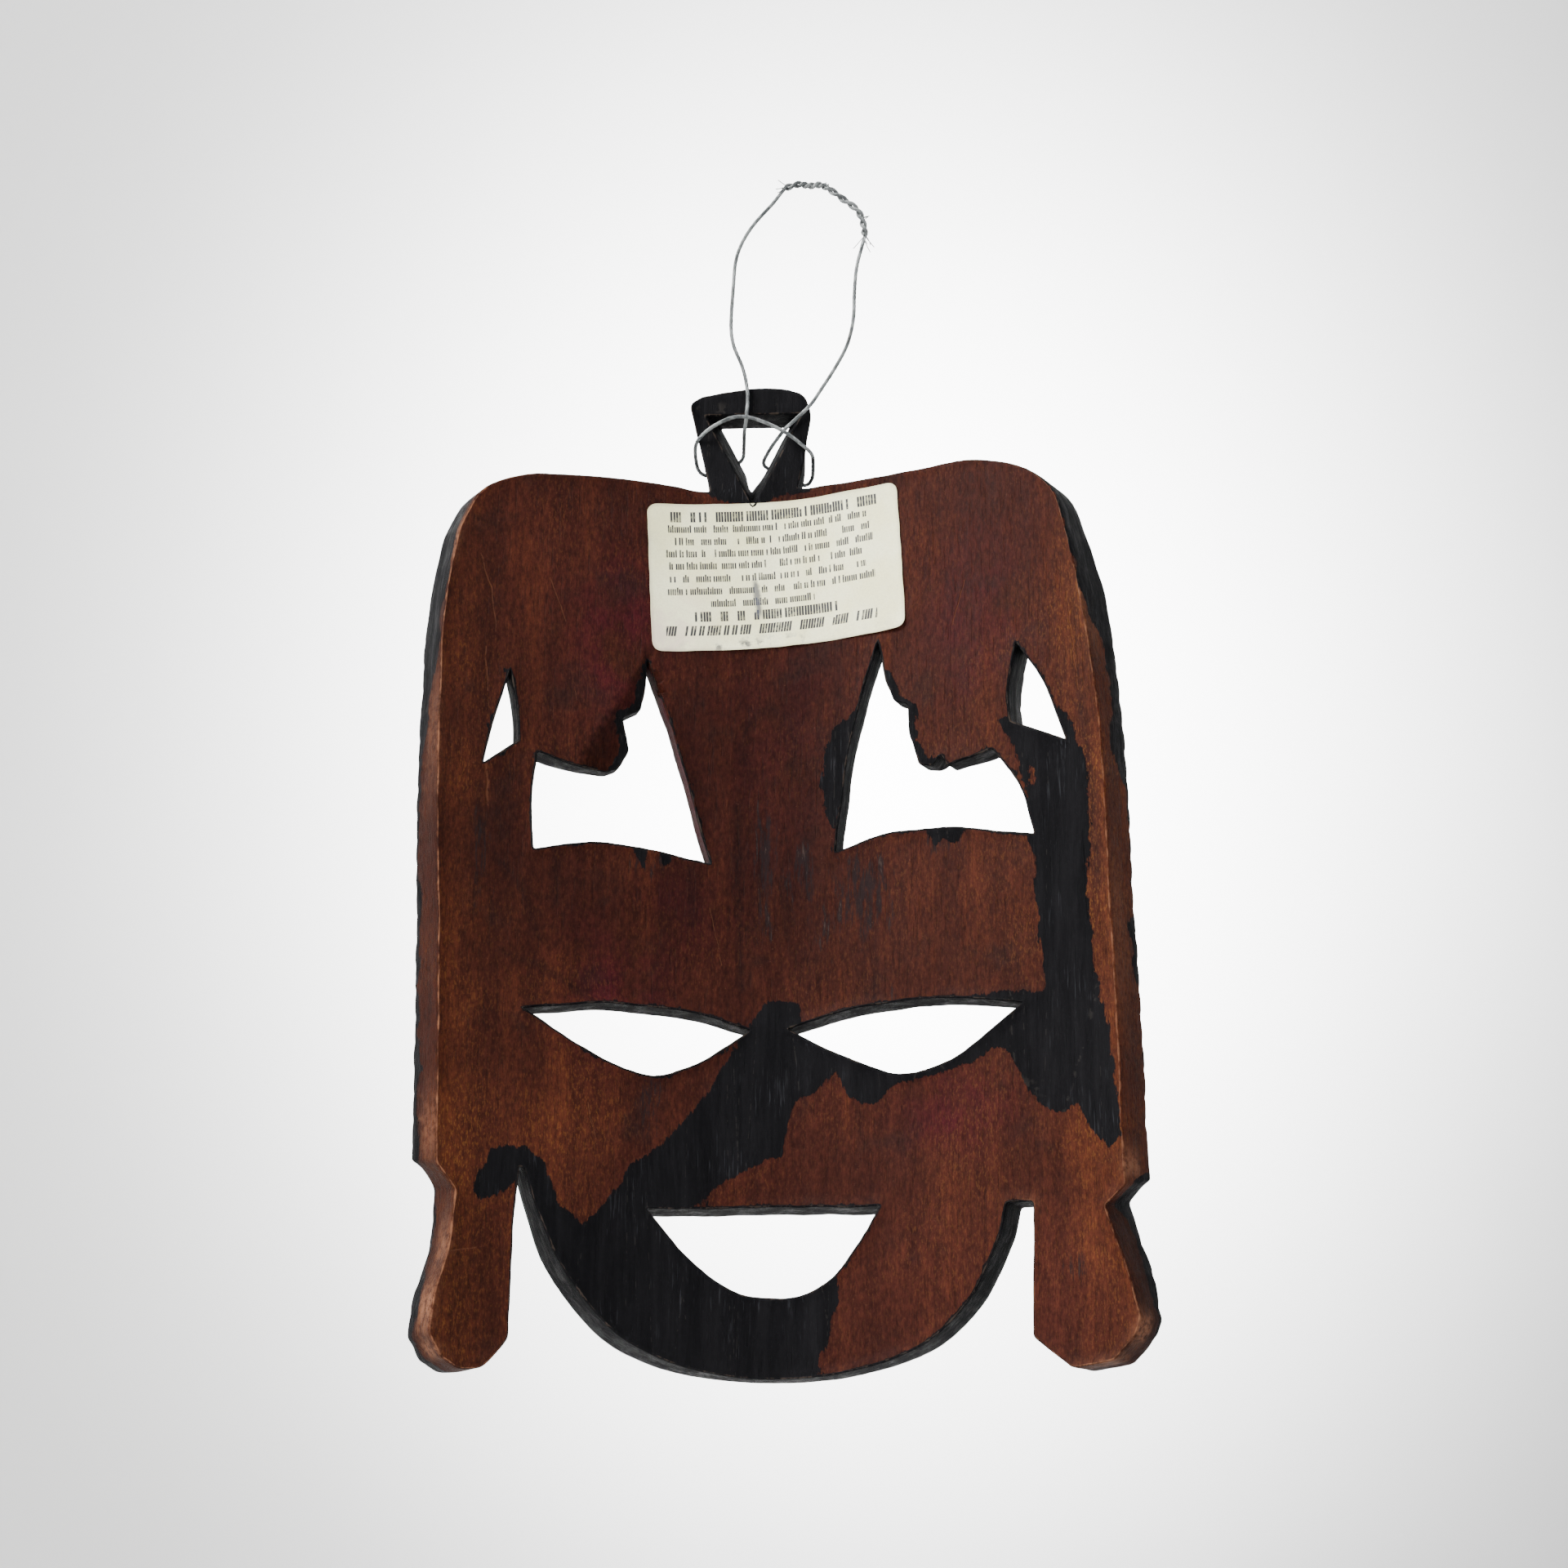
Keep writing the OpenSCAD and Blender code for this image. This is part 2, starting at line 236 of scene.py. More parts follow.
def line_distance(points, loop, closed=True):
    """Distance from each point to a line, and the index of the nearest side."""
    best, index = np.full(len(points), 1e9), np.zeros(len(points), int)
    ends = np.roll(loop, -1, 0) if closed else loop[1:]
    for k, (a, b) in enumerate(zip(loop, ends)):
        ab = b - a
        t = np.clip(((points - a) @ ab) / max(ab @ ab, 1e-12), 0, 1)
        d = np.linalg.norm(points - a - t[:, None] * ab, axis=1)
        near = d < best
        best[near], index[near] = d[near], k
    return best, index


def nearest_cut(points, loops):
    """Distance from each point to the nearest cut line, and which line that is."""
    gap, which = np.full(len(points), 99.0), np.zeros(len(points), int)
    for k, loop in enumerate(loops):
        d, _ = line_distance(points, loop)
        which[d < gap] = k
        gap = np.minimum(gap, d)
    return gap, which


def patch_field(points, patches):
    """Signed distance to a set of patches, negative inside."""
    field = np.full(len(points), 99.0)
    for patch in patches:
        loop = np.array(patch, float)
        d, _ = line_distance(points, loop)
        field = np.minimum(field, np.where(inside(points, loop), -d, d))
    return field


def smooth_step(x, low, high):
    """0 below low, 1 above high, and a soft step between."""
    t = np.clip((x - low) / (high - low), 0, 1)
    return t * t * (3 - 2 * t)


# ---------------------------------------------------------------- the board's surfaces
def hollow(x):
    """How far the back lies behind its middle line."""
    return np.sqrt(HOLLOW_RADIUS ** 2 + (HOLLOW_SLOPE * x) ** 2) - HOLLOW_RADIUS


def hollow_rise(x):
    """The slope of the hollow."""
    return HOLLOW_SLOPE ** 2 * x / (hollow(x) + HOLLOW_RADIUS)


def knot_share(p):
    """1 on the topknot, where the back is flat, and 0 on the hollow board."""
    return smooth_step(p[:, 1], 112, 122) * (1 - smooth_step(np.abs(p[:, 0] - KNOT_X), 19, 27))


def wood_point(p, depth):
    """3-D board point for 2-D places p at the given depths under the nominal back surface."""
    x, z = p[:, 0], p[:, 1]
    rise, knot = hollow_rise(x), knot_share(p)
    rise = rise * (1 - knot)
    n = np.sqrt(1 + rise * rise)
    back = hollow(x) * (1 - knot)
    return np.stack([x + depth * rise / n, back - depth / n, z], 1)


def gouge_marks(p):
    """Depth of the hand-carving on the hollow back: long shallow flats and a slow swell."""
    x, z = p[:, 0], p[:, 1]
    lane = x / 17.0 + 0.5 * noise_2d(p, 90.0, 31)
    t = lane - np.floor(lane)
    scallop = 1 - (2 * t - 1) ** 2
    strength = 0.5 + 0.5 * noise_2d(np.stack([np.floor(lane) * 40, z], 1), 55.0, 32)
    swell = noise_2d(p, 46.0, 33) * 0.7 + noise_2d(p, 17.0, 34) * 0.16
    return 0.34 * scallop * np.clip(strength, 0, 1) + np.clip(0.55 + swell * 0.6, 0, None)


# A slanting knife cut on the back: its area, the crease it starts from, its slope and its greatest depth
BACK_CUTS = [
    ([(45, 53), (40, 40), (44, 4), (66, 4), (68.2, 9.2), (66.8, 12.4), (57, 32), (47.8, 47.2), (46.3, 49.7)],
     [(46.3, 49.7), (47.8, 47.2), (57, 32), (66.8, 12.4), (68.2, 9.2)], 0.38, 4.2)]


def knife_cuts(p):
    """Depth of the slanting cuts that thin the board."""
    depth = np.zeros(len(p))
    for area, crease, slope, most in BACK_CUTS:
        d, _ = line_distance(p, np.array(crease, float), closed=False)
        depth += np.where(inside(p, np.array(area, float)), np.minimum(d * slope, most), 0)
    return depth


def back_cut(p, edge_gap):
    """How far the finished back lies under the plain hollow."""
    marks = gouge_marks(p) * (1 - 0.7 * knot_share(p)) * smooth_step(edge_gap, -1, 4)
    return marks + knife_cuts(p)


# ---------------------------------------------------------------- raised carving on the face
def mirror(outline):
    """The same outline on the other side."""
    return [(-x, z) + tuple(rest) for x, z, *rest in outline]


HEAD = [(45, 53, 3), (46.5, 38, 2), (52.5, 30, 2), (50.5, 18, 2), (54, 10, 3), (80, 11, 4),
        (86, 16, 4), (87.5, 30, 4), (91, 45, 4), (97, 60, 8), (98, 90, 10), (88, 106, 10),
        (64, 108, 10), (50, 92, 12)]
CENTRE_PANEL = [(0, 108, 6), (13, 101, 6), (16, 60, 12), (9, 0, 10), (7, -58, 4),
                (-7, -58, 4), (-10, 0, 10), (-17, 60, 12), (-13, 101, 6)]
BROW = [(91, -67, 3), (70, -52, 10), (36, -51, 10), (10, -64, 3), (12, -69.5, 3),
        (36, -60, 8), (66, -61, 8), (86, -70, 3)]
LIPS = [(53, -138, 4), (30, -133.5, 8), (12, -131.5, 5), (3, -134, 5), (-6, -131.5, 5),
        (-24, -133.5, 8), (-45, -138, 4), (-31, -169, 9), (-8, -184, 8), (12, -183, 8), (36, -170, 9)]
EAR_STRIP = [(107, 60, 6), (109.5, 0, 10), (107, -70, 10), (106, -124, 2), (97, -124, 2),
             (98, -70, 10), (103, -2, 8), (103, 40, 8)]
# The head-dress band's middle line and half height
BAND_Z, BAND_HALF = 59, 7.5


def raised(p, outline, height, soft=2.4, crown=0.0):
    """Height of a carved shape with softly rounded edges and an optional crown."""
    loop = rounded(outline)
    box = (p[:, 0] > loop[:, 0].min() - 4) & (p[:, 0] < loop[:, 0].max() + 4) \
        & (p[:, 1] > loop[:, 1].min() - 4) & (p[:, 1] < loop[:, 1].max() + 4)
    out = np.zeros(len(p))
    q = p[box]
    d, _ = line_distance(q, loop)
    d = np.where(inside(q, loop), d, -d)
    ramp = smooth_step(d, -soft * 0.5, soft * 0.7)
    out[box] = ramp * (height + crown * (1 - np.exp(-np.clip(d, 0, None) / 4)))
    return out


def groove(p, line, depth, width, closed=False):
    """A soft groove along a line."""
    loop = np.array(line, float)
    d, _ = line_distance(p, loop, closed)
    return -depth * np.exp(-(d / width) ** 2)


def arc(cx, cz, rx, rz, a0, a1, steps=14):
    """Points along part of an ellipse, from angle a0 to a1."""
    return [(cx + rx * math.cos(math.radians(a)), cz + rz * math.sin(math.radians(a)))
            for a in np.linspace(a0, a1, steps)]


def nose_height(p):
    """A long straight nose that widens to two nostrils."""
    x, z = p[:, 0], p[:, 1]
    t = np.clip((-58 - z) / 64, 0, 1)
    half = 4.5 + 7.5 * t ** 2.2
    ridge = 3.5 + 9.5 * t ** 0.9
    tip = smooth_step(z, -125.5, -117)
    blade = np.clip(1 - (np.abs(x) / half) ** 2.2, 0, 1) ** 0.8
    wings = np.exp(-((np.abs(x) - 8.5) / 4.2) ** 2 - ((z + 117.5) / 5.0) ** 2) * 5.5
    return np.maximum(ridge * blade * tip * smooth_step(z, 10, -70), wings * (z > -127))


def face_relief(p):
    """How far the carved face stands out from the plain front of the board (mm)."""
    x, z = p[:, 0], p[:, 1]
    h = np.maximum(0, raised(p, CENTRE_PANEL, 3.2, crown=1.0))
    for turn in (lambda o: o, mirror):
        h = np.maximum(h, raised(p, turn(HEAD), 2.6, crown=1.4))
        h = np.maximum(h, raised(p, turn(BROW), 3.0, crown=1.2))
        h = np.maximum(h, raised(p, turn(EAR_STRIP), 2.2, crown=0.6))
    h = np.maximum(h, raised(p, LIPS, 3.4, soft=4, crown=1.8))
    h = np.maximum(h, nose_height(p))
    # soft cheeks and chin
    for cx in (46, -46):
        h += 2.6 * np.exp(-((x - cx) / 26) ** 2 - ((z + 122) / 20) ** 2)
    h += 1.8 * np.exp(-(x / 22) ** 2 - ((z + 190) / 9) ** 2)
    m = np.abs(x)
    q = np.stack([m, z], 1)
    # the two small heads: eye, brow, mouth, ear and head-dress lines
    h += groove(q, arc(63, 37, 7, 4.0, 0, 360, 20), 1.0, 0.8, closed=True)
    h += 0.9 * np.exp(-((m - 63) / 4.2) ** 2 - ((z - 37) / 2.2) ** 2)
    h += groove(q, arc(63, 40, 11, 7, 30, 150), 0.9, 0.9)
    h += groove(q, [(52, 18), (57, 18.6), (61, 20)], 1.1, 0.9)
    h += groove(q, arc(80, 36, 4.5, 7, 60, 300), 0.9, 0.9)
    for level in (54, 59, 64):
        h += groove(q, [(44, level + 1), (60, level - 1), (80, level), (97, level + 3)], 0.9, 0.8)
    for k in range(7):
        a = 50 + 7.4 * k
        h += groove(q, [(a + 2, 69), (a + 5 - 0.3 * k, 88), (a + 9 - 1.6 * k, 108)], 0.8, 0.9)
    # eye rims
    for eye in (LEFT_EYE, RIGHT_EYE):
        loop = rounded(eye)
        d, _ = line_distance(p, loop)
        h += 1.7 * np.exp(-((d - 2.6) / 1.8) ** 2)
    # slanting cuts along the ear strips, bands across the ear pendants and the topknot
    strip = smooth_step(m, 95, 98) * smooth_step(z, -126, -122) * smooth_step(z, 58, 52)
    h -= 0.9 * strip * (0.5 + 0.5 * np.cos((z + 0.8 * m) * 2 * math.pi / 9.0)) ** 3
    hanging = smooth_step(m, 83, 86) * smooth_step(z, -142, -148)
    h += hanging * (0.8 - 1.2 * (0.5 + 0.5 * np.cos((z + 148) * 2 * math.pi / 10.5)) ** 4)
    # chisel texture
    h += 0.16 * noise_2d(p, 7.0, 51) + 0.3 * noise_2d(p, 22.0, 52)
    return h * (1 - 0.8 * knot_share(p))


# ---------------------------------------------------------------- board mesh
EDGE = 0.8            # how far the cut edges are rounded
SAWN_STRAIGHT = 0.32  # how much of the board's curve the openings' walls ignore
SPACING = 1.75        # between the points of the board's surface
LINE_SPACING = 1.5    # between the points of a cut line
FLARE_REACH = 14.0    # how far in from an outer side its flare is felt
# Each cut line, whether it is an opening, and how much the blade wandered
CUT_LINES = ((BOARD, False, 0.16), (LEFT_WINDOW, True, 0.26), (RIGHT_WINDOW, True, 0.26),
             (LEFT_SLOT, True, 0.15), (RIGHT_SLOT, True, 0.15), (LEFT_EYE, True, 0.25),
             (RIGHT_EYE, True, 0.25), (MOUTH, True, 0.3), (HANGING_HOLE, True, 0.12))
# Rings of points down a wall: which part of it, and how far along that part
WALL_RINGS = [("edge", 0.3), ("edge", 0.75), ("wall", 0.0), ("wall", 0.22), ("wall", 0.45),
              ("wall", 0.7), ("wall", 1.0), ("rim", 0.75), ("rim", 0.3)]


def loop_normals(loop):
    """Unit normals of a closed loop that point to its right-hand side, with mitres."""
    before, after = loop - np.roll(loop, 1, 0), np.roll(loop, -1, 0) - loop
    before /= np.linalg.norm(before, axis=1)[:, None]
    after /= np.linalg.norm(after, axis=1)[:, None]
    a, b = np.stack([before[:, 1], -before[:, 0]], 1), np.stack([after[:, 1], -after[:, 0]], 1)
    mitre = a + b
    mitre /= np.clip(1 + (a * b).sum(1), 0.35, None)[:, None]
    return mitre


def signed_area(loop):
    """Area of a closed loop, positive when it runs anticlockwise."""
    x, z = loop[:, 0], loop[:, 1]
    return 0.5 * np.sum(x * np.roll(z, -1) - np.roll(x, -1) * z)


def board_loops():
    """Every cut line of the board, turned so that the wood is on its left."""
    loops = []
    for k, (outline, is_hole, wobble) in enumerate(CUT_LINES):
        loop = wobbled(spaced(rounded(outline), LINE_SPACING), wobble, 11.0, 3 + k)
        if (signed_area(loop) > 0) == is_hole:
            loop = loop[::-1]
        loops.append(loop)
    return loops


def front_shift(p, loops):
    """How far the face side of a place lies from straight ahead of its back (mm, x and z)."""
    shift = np.zeros((len(p), 2))
    # the outer sides open towards the face
    d, _ = line_distance(p, loops[0])
    near = np.clip(1 - d / FLARE_REACH, 0, 1)
    for side, flare, notch in ((1, LEFT_FLARE, -135.5), (-1, RIGHT_FLARE, -143.5)):
        outer = smooth_step(side * p[:, 0], 84, 100) * near
        shift[:, 0] += side * outer * np.interp(p[:, 1], *zip(*flare))
        # the notches' walls rise towards the face
        shift[:, 1] += 3.9 * outer * np.exp(-((p[:, 1] - notch) / 6.5) ** 2)
    # the openings are sawn nearly straight through the curved board
    rise = hollow_rise(p[:, 0])
    for k, loop in enumerate(loops[1:-1]):
        gap, _ = line_distance(p, loop)
        near = np.clip(1 - gap / 8, 0, 1)
        shift[:, 0] -= SAWN_STRAIGHT * THICKNESS * near * rise / np.sqrt(1 + rise * rise)
        if k < 4:
            shift[:, 1] += 1.5 * near * smooth_step(p[:, 1], -6, 4)
    # the left side of the chin flares out towards the face
    low = smooth_step(p[:, 0], 8, 45) * (1 - smooth_step(p[:, 0], 79, 83))
    low = low * smooth_step(p[:, 1], -140, -158)
    shift += (1.6 * low * np.clip(1 - d / FLARE_REACH, 0, 1))[:, None] * np.array((0.8, -0.6))
    # the topknot's funnel closes towards the face
    d, _ = line_distance(p, loops[-1])
    near = smooth_step(1 - d / 10, 0, 1)
    inward = (HOLE_TAPER - 1) * (p - HOLE_TOP)
    inward *= ((p[:, 1] > 98) & (np.abs(p[:, 0] - KNOT_X) < 24))[:, None]
    return shift + inward * near[:, None] * smooth_step(p[:, 1], 98, 108)[:, None]


def filled(inner, spacing, creases=()):
    """Points and triangles that fill the first loop and leave out the others.

    The triangles have sides along the creases."""
    creases = [np.array(spaced_open(line, LINE_SPACING)) for line in creases]
    border = np.concatenate([*inner, *creases])
    low, high = border.min(0), border.max(0)
    zs = np.arange(low[1], high[1], spacing * 0.866)
    gx, gz = np.meshgrid(np.arange(low[0], high[0], spacing), zs)
    gx = gx + spacing * 0.5 * (np.arange(len(zs)) % 2)[:, None]
    grid = np.stack([gx.ravel(), gz.ravel()], 1)
    keep = inside(grid, inner[0])
    for loop in inner[1:]:
        keep &= ~inside(grid, loop)
    grid = grid[keep]
    tree = kdtree.KDTree(len(border))
    for i, q in enumerate(border):
        tree.insert((q[0], q[1], 0), i)
    tree.balance()
    gap = np.array([tree.find((q[0], q[1], 0))[2] for q in grid])
    points = np.concatenate([border, grid[gap > spacing * 0.72]])
    edges, starts, start = [], [], 0
    for loop in inner:
        n = len(loop)
        starts.append(start)
        edges += [(start + i, start + (i + 1) % n) for i in range(n)]
        start += n
    for line in creases:
        edges += [(start + i, start + i + 1) for i in range(len(line) - 1)]
        start += len(line)
    verts, _, tris, _, _, _ = delaunay_2d_cdt([Vector(p) for p in points], edges, [], 0, 1e-5)
    if len(verts) != len(points):
        print("filled: the triangulation changed the points", len(points), len(verts))
    flat = np.array([tuple(v) for v in verts])
    tris = np.array([tuple(t) for t in tris])
    centre = flat[tris].mean(1)
    keep = inside(centre, inner[0])
    for loop in inner[1:]:
        keep &= ~inside(centre, loop)
    tris = tris[keep]
    a, b, c = (flat[tris[:, k]] for k in range(3))
    turn = (b[:, 0] - a[:, 0]) * (c[:, 1] - a[:, 1]) - (b[:, 1] - a[:, 1]) * (c[:, 0] - a[:, 0])
    tris[turn < 0] = tris[turn < 0][:, ::-1]
    return flat, tris, starts


def board_mesh():
    """The carved board's points and faces, and what is known about each point."""
    loops = board_loops()
    inner = [loop - loop_normals(loop) * EDGE for loop in loops]
    flat, tris, starts = filled(inner, SPACING, [crease[1:-1] for _, crease, _, _ in BACK_CUTS])
    count = len(flat)
    # back and face layers
    edge_gap, _ = nearest_cut(flat, loops)
    full = THICKNESS + face_relief(flat)
    face = wood_point(flat, full)
    face[:, (0, 2)] += front_shift(flat, loops)
    layers, flats = [wood_point(flat, back_cut(flat, edge_gap)), face], [flat, flat]
    from_back, from_face = [np.zeros(count), full], [full, np.zeros(count)]
    faces = [tris[:, ::-1], tris + count]
    base = 2 * count

    def band(previous, now):
        """Two triangles to each side, from one ring to the next."""
        ahead, previous_ahead = np.roll(now, -1), np.roll(previous, -1)
        faces.append(np.stack([previous, previous_ahead, ahead], 1))
        faces.append(np.stack([previous, ahead, now], 1))

    # walls, ring by ring from the back edge to the face edge
    for loop, ring, start in zip(loops, inner, starts):
        n = len(loop)
        index = np.arange(n) + start
        cut_back = back_cut(loop, np.zeros(n))
        total = THICKNESS + face_relief(loop)
        wear = 0.55 + 0.5 * np.abs(noise_2d(loop, 9.0, 61)) \
            + 0.5 * np.clip(noise_2d(loop, 4.0, 62), 0, 1) ** 2
        shift, normals = front_shift(loop, loops), loop_normals(loop)
        previous = index
        for r, (kind, t) in enumerate(WALL_RINGS):
            if kind == "wall":
                start_d, end_d = cut_back + wear * EDGE, total - 0.8 * EDGE
                depth = start_d + t * (end_d - start_d)
                rough = noise_2d(np.stack([loop[:, 0] + 40 * r, loop[:, 1]], 1), 9.0, 63 + r)
                spot = loop + normals * (0.13 * rough * math.sin(math.pi * t))[:, None]
            else:
                angle = t * math.pi / 2
                spot = ring + (loop - ring) * math.sin(angle)
                drop = EDGE * (1 - math.cos(angle))
                depth = cut_back + wear * drop if kind == "edge" else total - 0.8 * drop
            layer = wood_point(spot, depth)
            layer[:, (0, 2)] += shift * np.clip(depth / total, 0, 1)[:, None]
            layers.append(layer)
            flats.append(spot)
            from_back.append(depth - cut_back)
            from_face.append(total - depth)
            now = base + np.arange(n)
            base += n
            band(previous, now)
            previous = now
        band(previous, index + count)
    flats = np.concatenate(flats)
    edge_gap, nearest = nearest_cut(flats, loops)
    order = np.arange(len(flats))
    known = SimpleNamespace(
        flat=flats, x=flats[:, 0], z=flats[:, 1], edge_gap=edge_gap, nearest=nearest,
        from_back=np.concatenate(from_back), from_face=np.concatenate(from_face),
        on_back=order < count, on_wall=order >= 2 * count, outline=nearest == 0,
        knot=knot_share(flats))
    # the triangles of the face come second
    on_face = np.zeros(sum(map(len, faces)), np.int32)
    on_face[len(tris):2 * len(tris)] = 1
    return np.concatenate(layers), np.concatenate(faces), on_face, known


def new_mesh(name, points_mm, faces):
    """A mesh object from board millimetres, smooth but for its sharp edges."""
    mesh = bpy.data.meshes.new(name)
    mesh.from_pydata([tuple(p) for p in place(points_mm)], [],
                     [tuple(int(i) for i in f) for f in faces])
    mesh.validate()
    mesh.update()
    mesh.shade_smooth()
    mesh.set_sharp_from_angle(angle=math.radians(38))
    return link(name, mesh)


def add_field(mesh, name, values):
    """A value at every point, for the materials to read."""
    attribute = mesh.attributes.new(name, "FLOAT", "POINT")
    attribute.data.foreach_set("value", np.asarray(values, np.float32))


# ---------------------------------------------------------------- paint, stain and wear on the board
# Soft areas of the back: middle, half width and height (mm), amount. First the wine-red stain
WINE_STAINS = [(54, 58, 14, 26, 1.0), (54, -66, 16, 20, 0.8), (-61, -112, 16, 12, 0.9),
               (0, 30, 26, 60, 0.25), (-70, 60, 16, 30, 0.5), (30, -40, 20, 14, 0.4)]
# lighter and darker places of the wood: partly its own tone, partly painted light and shade
PAINTED_LIGHT_AND_TONE_AREAS = [(0, 20, 34, 60, -0.26), (0, -40, 40, 22, -0.20), (78, 84, 26, 30, 0.30),
               (60, 30, 16, 18, 0.26), (68, -118, 26, 26, 0.28), (-95, -172, 18, 28, 0.48),
               (96, -172, 16, 28, -0.22), (99, 0, 10, 60, -0.14), (-50, -165, 26, 26, 0.18),
               (-66, -40, 26, 30, 0.10), (40, -40, 24, 18, -0.12), (-30, -60, 22, 14, -0.15)]
# rough dark scuffs
SCUFFS = [(-30, -34, 12, 17, 1.0), (4, -24, 5, 30, 0.9), (-9, -27, 8, 15, 0.8), (-20, -46, 12, 12, 0.55),
          (44, -22, 7, 8, 0.8), (-58, -16, 8, 9, 0.9), (43, -107, 5, 13, 0.95), (99, -24, 3, 24, 0.8),
          (-40, -70, 8, 5, 0.4), (-98, -166, 9, 7, 0.5), (-95, 10, 5, 10, 0.4)]
# and the bare, rubbed places of the outer edge
WORN_PLACES = [(112, 88, 9, 9, 0.75), (113, 20, 9, 22, 0.30), (112, -178, 9, 9, 1.0),
               (109, -192, 9, 3, 0.8), (106, -158, 9, 9, 0.6), (110, -120, 9, 12, 0.4),
               (-119, -187, 9, 5, 0.9), (-108, -198, 9, 4, 0.6), (-110, 60, 9, 14, 0.35),
               (-116, -134, 9, 5, 0.7), (-86, -144, 9, 4, 0.6), (-113, -60, 9, 30, 0.2)]
# The broad dark streak under the left eye, and thin ones
BROAD_STREAK = [(42, -100), (45, -108), (44, -121)]
THIN_STREAKS = [
    [(100, 0), (99, -20), (101, -45)], [(5, -8), (5.5, -34)], [(-10, -12), (-11, -34)],
    [(-2, -22), (-3, -46)], [(92, -58), (78, -62), (66, -70), (52, -80)],
    [(98, -20), (86, -34), (80, -52)], [(76, 8), (74, -40)], [(-104, 40), (-108, 0), (-110, -40)],
    [(30, -24), (29, -44)], [(14, 0), (12, -66)]]


def soft_area(b, area):
    """A soft round area, strongest in its middle."""
    cx, cz, half_width, half_height, amount = area
    return amount * np.exp(-((b.x - cx) / half_width) ** 2 - ((b.z - cz) / half_height) ** 2)


def strongest(b, areas):
    """The strongest of a set of soft areas."""
    share = np.zeros(len(b.x))
    for area in areas:
        share = np.maximum(share, soft_area(b, area))
    return share


def soft_line(b, line, width):
    """1 along a line, fading to 0 at its sides."""
    d, _ = line_distance(b.flat, np.array(line, float), closed=False)
    return np.exp(-(d / width) ** 2)


def outer_wall_paint(b):
    """Signed distance to the black paint on the outer walls, negative inside it."""
    middle = np.abs(b.x) < CHIN_HALF
    left = b.from_face - 3.0 - 8.5 * smooth_step(b.z, 0, 55) - 1.5 * smooth_step(b.z, -150, -185) \
        + 1.8 * noise_2d(b.flat, 14.0, 73)
    right = b.from_face - np.interp(b.z, *zip(*RIGHT_WALL_PAINT)) + 0.9 * noise_2d(b.flat, 8.0, 74)
    field = 13.0 - b.from_back
    for where, value in ((b.x > CHIN_HALF, left), (b.x < -CHIN_HALF, right),
                         (middle & (b.z < -100), -3.0), (middle & (b.z > 90), -2.0),
                         ((np.abs(np.abs(b.x) - 86) < 3) & (b.z < -130), b.from_back - 6.0)):
        field = np.where(where, value, field)
    return field


def paint_field(b):
    """Signed distance to the black paint on the back and every wall, negative inside it."""
    patches = np.maximum(patch_field(b.flat, PAINT_PATCHES), -patch_field(b.flat, BARE_CHIPS))
    # the paint of the openings' walls runs over onto the back, most of all at the two profiles
    run_over = 0.5 + 0.9 * np.clip(noise_2d(b.flat, 5.0, 71), 0, 1)
    profile = ((np.abs(b.x + 47) < 9) & (b.z > 6) & (b.z < 46)) \
        | ((np.abs(b.x - 50) < 6) & (b.z > 7) & (b.z < 50))
    run_over = np.where(profile, 2.6 + 0.8 * noise_2d(b.flat, 4.0, 72), run_over)
    is_opening = (b.nearest > 0) & (b.nearest < len(CUT_LINES) - 1)
    chin = b.outline & (np.abs(b.x) < CHIN_HALF) & (b.z < -100)
    runs = np.where(is_opening, b.edge_gap - run_over, 99.0)
    runs = np.where(chin, np.minimum(runs, b.edge_gap - 0.6), runs)
    over_edge = np.where(b.from_back < 2, patches + b.from_back, 99)
    walls = np.where(b.outline, np.minimum(outer_wall_paint(b), over_edge), -3.0)
    paint = np.where(b.on_wall, walls, np.minimum(patches, runs))
    paint = np.where(b.knot > 0.5, -3.0, paint)
    bare = 1.2 * np.minimum(b.from_back - 0.6, b.from_face - 2.0) + 0.8 * noise_2d(b.flat, 5.0, 77)
    return np.where(b.bare_wall, bare, paint)


def tone_field(b):
    """Where the wood is paler and more orange: the rims and the lower left."""
    tone = 0.75 * smooth_step(np.abs(b.x), 92, 106) * (0.7 + 0.3 * noise_2d(b.flat, 30, 75))
    tone += 0.35 * smooth_step(b.x, 30, 95) * smooth_step(b.z, 0, -60)
    tone = np.where(b.on_wall & b.outline, tone * 0.35, tone)
    tone += 0.35 * smooth_step(-b.x, 30, 80) * smooth_step(np.abs(b.z + 40), 150, 60)
    tone += soft_area(b, (62, -115, 26, 22, 0.30))
    return np.clip(tone, 0, 1)


def painted_light_and_tone_field(b):
    """How light the wood is drawn, as a share of its plain colour: partly its own lighter and darker places,
    partly painted light and shade.
    """
    shade = np.ones(len(b.x))
    for area in PAINTED_LIGHT_AND_TONE_AREAS:
        shade += soft_area(b, area)
    # painted shade on the left outer wall and on the right pendant's outer wall
    outer_wall = b.on_wall & b.outline
    shade = np.where(outer_wall & (b.x > CHIN_HALF), shade * 0.70, shade)
    shade = np.where(outer_wall & (b.x < -CHIN_HALF) & (b.z < -146), shade * 0.5, shade)
    # painted shade on the slanting knife-cut facet
    facet = inside(b.flat, np.array(BACK_CUTS[0][0], float)) & b.on_back
    return np.where(facet, shade * 0.62, shade)


def smudge_field(b):
    """A plain dark ring and dark streaks on the back."""
    ring = np.abs(np.hypot(b.x - 3, (b.z - 21) / 1.6) - 8.5)
    mark = np.exp(-(ring / 1.3) ** 2) * (0.55 + 0.35 * noise_2d(b.flat, 7.0, 76))
    mark = np.maximum(mark, 0.9 * soft_line(b, BROAD_STREAK, 2.2))
    for line in THIN_STREAKS:
        mark = np.maximum(mark, 0.8 * soft_line(b, line, 1.2))
    return mark


